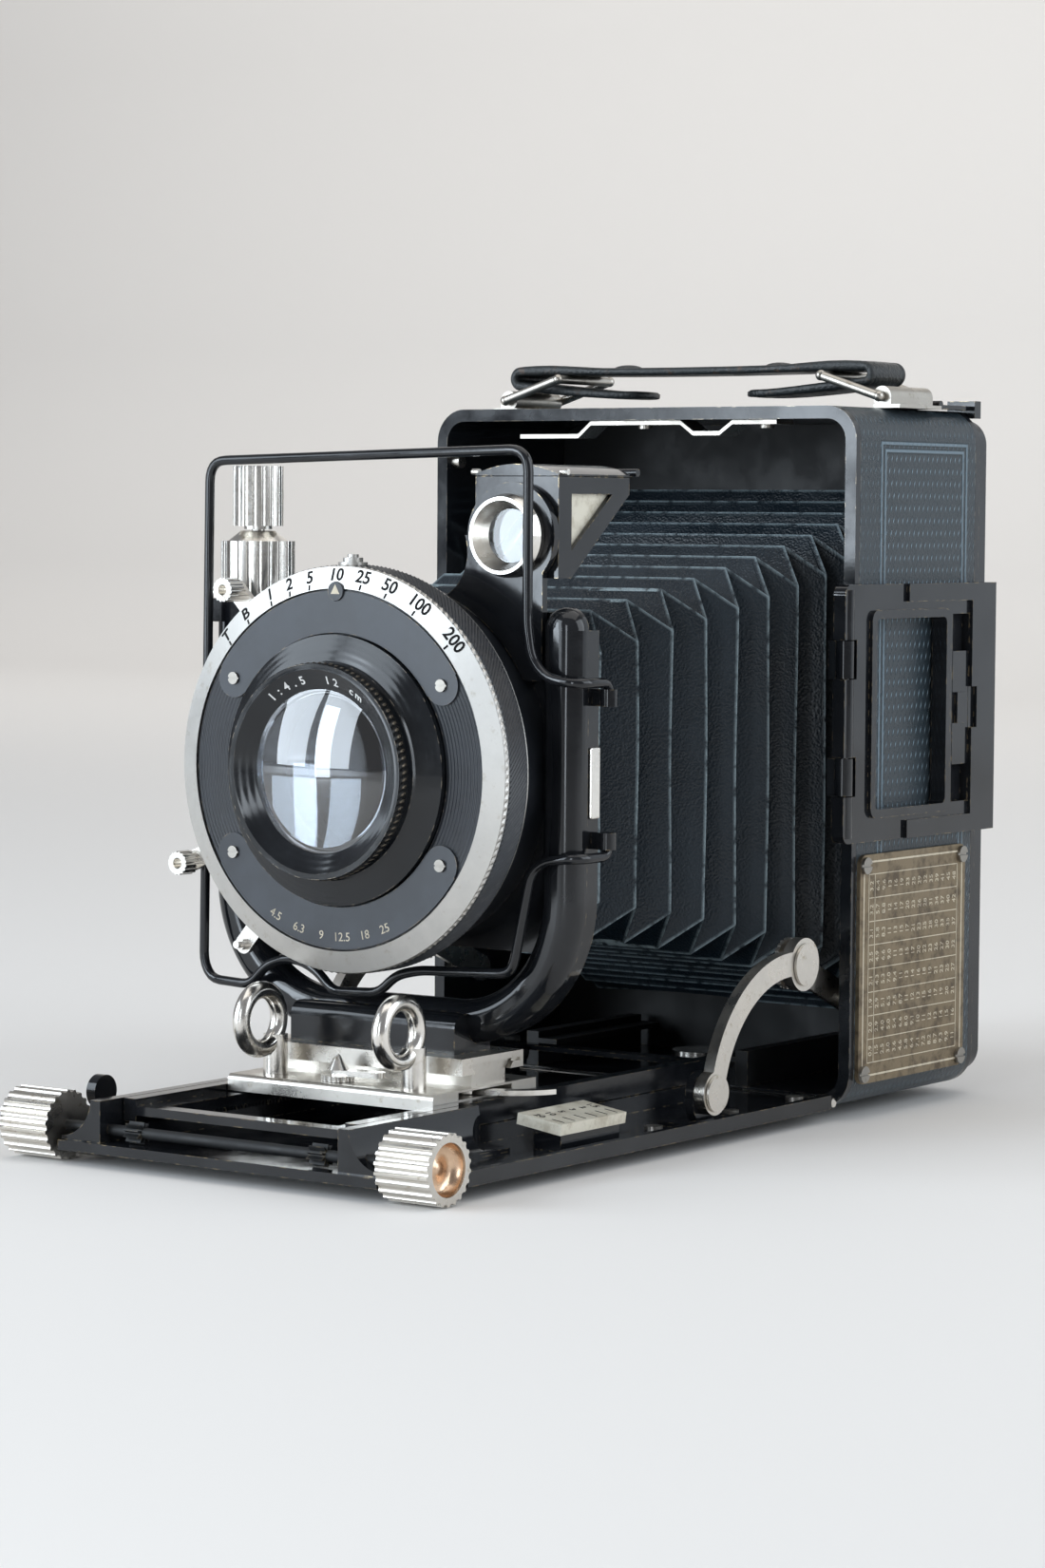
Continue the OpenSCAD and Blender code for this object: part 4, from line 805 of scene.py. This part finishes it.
def facing(right, up, place):  # matrix that lays flat work at a place in millimetres
    r, u = Vector(right).normalized(), Vector(up).normalized()
    turn = Matrix((r, u, r.cross(u))).transposed().to_4x4()
    return Matrix.Translation(Vector(place) * mm) @ turn


def aboutLens(angle, radius, forward):  # place at an angle round the lens axis
    a = math.radians(angle)
    return Vector((radius * math.cos(a), frontY - forward, lensZ + radius * math.sin(a)))


def onLens(angle, radius, forward, lean=0.0):  # flat on the shutter's front, tops outwards
    a = math.radians(angle)
    out = Vector((math.cos(a), 0, math.sin(a)))
    front = Vector((0, -1, 0))
    up = out * math.cos(lean) - front * math.sin(lean)
    right = up.cross(out * math.sin(lean) + front * math.cos(lean))
    return facing(right, up, aboutLens(angle, radius, forward))


ringMarks = {
    "figures": [(138, "T"), (128, "B"), (117, "1"), (109, "2"), (101, "5"), (91, "10"),
                (81, "25"), (71, "50"), (59, "100"), (43, "200")],  # degrees and words
    "radius": 34.45, "size": 3.2, "bold": 0.06, "tickRadius": 32.7, "tick": (0.36, 1.0),
    "outer": 36, "front": 94.0, "slope": (1.3, 3.9), "lift": 0.02,
}


def onRing(r, angle, radius):  # just above the ring's sloping face
    rise, run = r["slope"]
    forward = r["front"] + (r["outer"] - radius) * rise / run + r["lift"]
    return onLens(angle, radius, forward, math.atan2(rise, run))


def makeRingMarks(r):
    bm = bmesh.new()
    for angle, words in r["figures"]:
        addText(bm, words, r["size"], onRing(r, angle, r["radius"]), bold=r["bold"])
        addBar(bm, onRing(r, angle, r["tickRadius"]), *r["tick"])
    finishFigures("ringFigures", bm, inkBlack, "ring")


makeRingMarks(ringMarks)

faceMarks = {
    "figures": [(243, "4.5"), (254, "6.3"), (264, "9"), (273, "12.5"), (283, "18"), (292, "25")],
    "radius": 29.6, "forward": 95.32, "size": 2.2,
    "pointer": (90, 31.7, 95.7), "pointerSize": 1.15,  # angle, radius and distance forward
}


def makeFaceMarks(f):  # tops of the figures point inwards
    bm = bmesh.new()
    front = Vector((0, -1, 0))
    for angle, words in f["figures"]:
        a = math.radians(angle)
        up = Vector((-math.cos(a), 0, -math.sin(a)))
        place = aboutLens(angle, f["radius"], f["forward"])
        addText(bm, words, f["size"], facing(up.cross(front), up, place))
    pointer = bmesh.ops.create_circle(
        bm, cap_ends=True, segments=3, radius=f["pointerSize"] * mm)["verts"]
    bmesh.ops.transform(bm, matrix=onLens(*f["pointer"]), verts=pointer)
    finishFigures("faceFigures", bm, inkPale, "front")


makeFaceMarks(faceMarks)

rimMarks = {
    "words": "1:4.5  12 cm", "start": 128, "step": 6.6,  # degrees
    "radius": 16.2, "forward": 100.72, "slope": (-2.4, 3.8), "size": 2.3, "bold": 0.03,
}


def makeRimMarks(r):
    bm = bmesh.new()
    lean = math.atan2(*r["slope"])
    for i, c in enumerate(r["words"]):
        place = onLens(r["start"] - r["step"] * i, r["radius"], r["forward"], lean)
        addText(bm, c, r["size"], place, bold=r["bold"])
    finishFigures("rimFigures", bm, inkWhite, "front")


makeRimMarks(rimMarks)

pointerTab = {"place": (90, 31.6, 95.52), "radii": (1.75, 1.65), "thick": 0.3, "segments": 40}


def makePointerTab(p):
    bm = bmesh.new()
    foot, top = (r * mm for r in p["radii"])
    tab = bmesh.ops.create_cone(bm, cap_ends=True, segments=p["segments"], radius1=foot,
                                radius2=top, depth=p["thick"] * mm)["verts"]
    bmesh.ops.transform(bm, matrix=onLens(*p["place"]), verts=tab)
    finishPiece("pointerTab", bm, faceBlack, "front", smooth=False)


makePointerTab(pointerTab)

tableMarks = {
    "x": 49.82, "y": (5.2, 38.8), "z": (8.4, 44.4), "rows": 15, "columns": 8, "size": 1.7,
    "seed": 4, "factor": 0.35, "line": 0.16, "border": 0.35,
    "borderY": (3.4, 40.6), "borderZ": (6.0, 46.8), "borderWide": 36, "borderHigh": 37,
}


def makeTable(t):  # plain number grid, read with the camera on its side
    bm = bmesh.new()
    rng = random.Random(t["seed"])
    high, wide = t["z"][1] - t["z"][0], t["y"][1] - t["y"][0]
    midY, midZ = frontY + sum(t["y"]) / 2, sum(t["z"]) / 2

    def lay(y, z):
        return facing((0, 0, 1), (0, -1, 0), (t["x"], y, z))

    for c in range(t["columns"]):
        z = t["z"][0] + high * (c + 0.5) / t["columns"]
        for k in range(t["rows"]):
            y = frontY + t["y"][0] + wide * (k + 0.5) / t["rows"]
            value = (k + 1) * (c + 2) * t["factor"] + rng.random()
            words = f"{value:.1f}" if value < 10 else f"{value:.0f}"
            addText(bm, words, t["size"], lay(y, z))
    for c in range(t["columns"] + 1):
        addBar(bm, lay(midY, t["z"][0] + high * c / t["columns"]), t["line"], wide)
    for k in (0, 1, t["rows"]):
        addBar(bm, lay(frontY + t["y"][0] + wide * k / t["rows"], midZ), high, t["line"])
    for z in t["borderZ"]:
        addBar(bm, lay(midY, z), t["border"], t["borderWide"])
    for y in t["borderY"]:
        addBar(bm, lay(frontY + y, midZ), t["borderHigh"], t["border"])
    finishFigures("tableFigures", bm, inkPale, "body")


makeTable(tableMarks)

scaleMarks = {
    "figures": [("1.5", 70), ("2", 73), ("3", 76.2), ("5", 79.6), ("10", 83), ("20", 86.2)],
    "size": 2.1, "x": 34.6, "z": 6.2, "tilt": 8, "lift": 2.02,
    "wordsAt": 3.4, "tickAt": 7.4, "tick": (2.6, 0.25),
}


def makeScale(s):
    bm = bmesh.new()
    tilt = math.radians(s["tilt"])
    right, up = Vector((math.cos(tilt), 0, -math.sin(tilt))), Vector((0, 1, 0))
    normal = right.cross(up)
    for words, a in s["figures"]:
        origin = Vector((s["x"], frontY - a, s["z"])) + normal * s["lift"]
        addText(bm, words, s["size"], facing(right, up, origin + right * s["wordsAt"]))
        addBar(bm, facing(right, up, origin + right * s["tickAt"]), *s["tick"])
    finishFigures("scaleFigures", bm, inkBlack, "body")


makeScale(scaleMarks)
print("figures filled")

# knurled band round the speed ring and the milled edge of the lens rim
ringKnurl = {
    "name": "ringKnurl", "body": "ring", "finish": knurlBlack,
    "radius": 36.02, "back": 87.4, "front": 92.8, "teeth": 240, "rows": 12, "depth": 0.28,
}
ringEdge = {
    "name": "ringEdge", "body": "ring", "finish": steel,
    "radius": 36.02, "back": 92.8, "front": 93.95, "teeth": 160, "rows": 2, "depth": 0.3,
}
rimMill = {
    "name": "rimMill", "body": "front", "finish": millBlack,
    "radius": 19.0, "back": 99.2, "front": 101.7, "teeth": 95, "rows": 2, "depth": 0.3,
}


def makeKnurl(k):
    bm = bmesh.new()
    count = 2 * k["teeth"]
    loop = None
    for row in range(k["rows"] + 1):
        a = k["back"] + (k["front"] - k["back"]) * row / k["rows"]
        edge = row in (0, k["rows"])
        places = []
        for i in range(count):
            r = k["radius"] + (0 if edge or (i + row) % 2 else k["depth"])
            places.append(aboutLens(360 * i / count, r, a) * mm)
        loop = growLoop(bm, loop, places) if loop else startLoop(bm, places)
    finishPiece(k["name"], bm, k["finish"], k["body"], smooth=False)


for knurl in (ringKnurl, ringEdge, rimMill):
    makeKnurl(knurl)
print("knurls rolled")

# wire frame finder, one bent wire from hinge to hinge
wireForm = {
    "radius": 0.9, "sides": 4, "rounds": 3, "bend": 2.0, "share": 0.45,
    "route": [  # x, distance forward and z
        (43.8, 74, 79), (43.8, 74, 83), (43.8, 81.4, 83), (42, 83, 83), (36.6, 83, 83.8),
        (33.6, 83, 87), (32.6, 83, 93), (32.6, 83, 121.4), (30.6, 83, 123.4), (-37.4, 83, 121.6),
        (-39.2, 83, 119.6), (-40.4, 83, 29), (-38.4, 83, 26), (-29.4, 83, 25.6), (-25.6, 83, 29.4),
        (-21.6, 83, 31), (-17.2, 83, 30.8), (-13.4, 83, 29), (-10, 83, 25.7), (0.4, 83, 26.2),
        (4.4, 83, 29.7), (9.6, 83, 30.9), (28.6, 83, 31.6), (30.2, 83, 33), (32.6, 83, 44.5),
        (33.6, 83, 49.5), (36.6, 83, 51.9), (42, 83, 52.5), (43.8, 81.4, 52.5), (43.8, 74, 52.5),
        (43.8, 74, 56.5),
    ],
}


def roundedRoute(points, rounds, reach, share):  # softens bends, keeps the straight runs
    out = [points[0]]
    for p, q, r in zip(points, points[1:], points[2:]):
        a, b = p - q, r - q
        inA, inB = (q + arm * min(share, reach / arm.length) for arm in (a, b))
        for i in range(rounds + 1):
            t = i / rounds
            out.append(inA * (1 - t) ** 2 + q * 2 * t * (1 - t) + inB * t ** 2)
    return out + [points[-1]]


def makeWire(w):
    points = [Vector((x, frontY - a, z)) for x, a, z in w["route"]]
    route = roundedRoute(points, w["rounds"], w["bend"], w["share"])
    curve = bpy.data.curves.new("wireRoute", "CURVE")
    curve.dimensions, curve.use_fill_caps = "3D", True
    curve.bevel_depth, curve.bevel_resolution = w["radius"] * mm, w["sides"]
    line = curve.splines.new("POLY")
    line.points.add(len(route) - 1)
    for p, place in zip(line.points, route):
        p.co = (*(place * mm), 1)
    holder = bpy.data.objects.new("wireRoute", curve)
    bpy.context.scene.collection.objects.link(holder)
    shaped = holder.evaluated_get(bpy.context.evaluated_depsgraph_get())
    mesh = bpy.data.meshes.new_from_object(shaped)
    bpy.data.objects.remove(holder)
    bm = bmesh.new()
    bm.from_mesh(mesh)
    bpy.data.meshes.remove(mesh)
    bmesh.ops.remove_doubles(bm, verts=bm.verts, dist=1e-6)
    piece = finishPiece("bentWire", bm, enamel, "frame_finder")
    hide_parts("wire_frame")


makeWire(wireForm)
print("wire bent")


def spinProfile(bm, places, axis, centre, steps):  # one full turn of a line of points
    line = [bm.verts.new(p) for p in places]
    edges = [bm.edges.new(pair) for pair in zip(line, line[1:])]
    bmesh.ops.spin(bm, geom=line + edges, axis=axis, cent=centre, steps=steps,
                   angle=2 * math.pi, use_merge=True)


# copper coloured cups in the ends of the focusing knobs
knobEnds = {
    "axle": (125, 3.9), "outer": 47.4, "cup": 2.6, "steps": 40,
    "profile": [(0.0, 0.5), (0.9, 0.45), (1.1, 0.15), (3.4, 0.1), (4.2, 0.6), (4.58, 2.1)],
}


def makeKnobEnds(k):
    bm = bmesh.new()
    floor = k["outer"] - k["cup"]
    for side in (-1, 1):
        places = [(side * (floor + h) * mm, 0, r * mm) for r, h in k["profile"]]
        spinProfile(bm, places, (1, 0, 0), (0, 0, 0), k["steps"])
    bmesh.ops.remove_doubles(bm, verts=bm.verts, dist=1e-7)
    bmesh.ops.recalc_face_normals(bm, faces=bm.faces)
    for f in bm.faces:  # open shells, turned to face outwards
        if f.normal.x * f.calc_center_median().x < 0:
            f.normal_flip()
    forward, high = k["axle"]
    bmesh.ops.translate(bm, vec=Vector((0, frontY - forward, high)) * mm, verts=bm.verts)
    finishPiece("knobCups", bm, copper, "axle", fixNormals=False)


makeKnobEnds(knobEnds)
print("knob cups pressed")

# front lens, bedded in the cone of its rim
frontLens = {
    "edge": (14.5, 99.64), "vertex": 102.3, "arcs": 12, "steps": 72, "crease": 20,
    "seat": [(14.1, 99.4), (13.25, 98.6), (13.25, 97.0), (0, 97.0)],  # radius, distance forward
}


def makeFrontLens(f):
    bm = bmesh.new()
    reach, rim = f["edge"]
    rise = f["vertex"] - rim
    bend = (reach ** 2 + rise ** 2) / (2 * rise)
    radii = [reach * i / f["arcs"] for i in range(f["arcs"] + 1)]
    dome = [(r, f["vertex"] - bend + math.sqrt(bend ** 2 - r ** 2)) for r in radii]
    places = [Vector((r, frontY - a, lensZ)) * mm for r, a in dome + f["seat"]]
    spinProfile(bm, places, (0, 1, 0), (0, 0, lensZ * mm), f["steps"])
    bmesh.ops.remove_doubles(bm, verts=bm.verts, dist=1e-7)
    piece = finishPiece("frontLens", bm, lensGlass, "front")
    addCrease(piece, f["crease"])
    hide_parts("front_glass")


makeFrontLens(frontLens)
print("lens bedded")

# pale sides of the finder's prism
finderSides = {
    "x": (18.1, 33.5), "thick": 0.3,
    "route": [(72.7, 116.0), (60.0, 116.0), (72.7, 105.4)],  # distance forward and z
}


def makeFinderSides(s):
    bm = bmesh.new()
    for x in s["x"]:
        corners = [bm.verts.new(Vector((x, frontY - a, z)) * mm) for a, z in s["route"]]
        solid = bmesh.ops.extrude_face_region(bm, geom=[bm.faces.new(corners)])["geom"]
        moved = [g for g in solid if isinstance(g, bmesh.types.BMVert)]
        bmesh.ops.translate(bm, vec=(s["thick"] * mm, 0, 0), verts=moved)
    finishPiece("finderSides", bm, ivory, "finder", smooth=False)


makeFinderSides(finderSides)

# pins of the finder's lid
finderPins = {
    "x": (16.2, 35.4), "forward": 75.9, "z": 119.6, "radius": 0.55, "length": 1.5, "segments": 20,
}


def makeFinderPins(p):
    bm = bmesh.new()
    radius, turn = p["radius"] * mm, Matrix.Rotation(math.pi / 2, 4, "Y")
    for x in p["x"]:
        place = Matrix.Translation(Vector((x, frontY - p["forward"], p["z"])) * mm)
        bmesh.ops.create_cone(bm, cap_ends=True, segments=p["segments"], radius1=radius,
                              radius2=radius, depth=p["length"] * mm, matrix=place @ turn)
    finishPiece("finderPins", bm, nickel, "finder_cover", smooth=False)


makeFinderPins(finderPins)

# spring plate on the right arm
armPlate = {"low": (40.62, 72.75, 59.0), "high": (41.3, 75.6, 71.5), "bevel": 0.25}


def makeArmPlate(p):
    bm = bmesh.new()
    low, high = Vector(p["low"]), Vector(p["high"])
    mid = (low + high) / 2
    made = bmesh.ops.create_cube(bm, size=1.0)["verts"]
    bmesh.ops.scale(bm, vec=(high - low) * mm, verts=made)
    bmesh.ops.translate(bm, vec=Vector((mid.x, frontY - mid.y, mid.z)) * mm, verts=made)
    bmesh.ops.bevel(bm, geom=bm.edges[:], offset=p["bevel"] * mm, offset_type="OFFSET",
                    segments=2, profile=0.5, affect="EDGES", material=-1)
    finishPiece("armPlate", bm, nickel, "yoke", smooth=False)


makeArmPlate(armPlate)
print("small parts set")
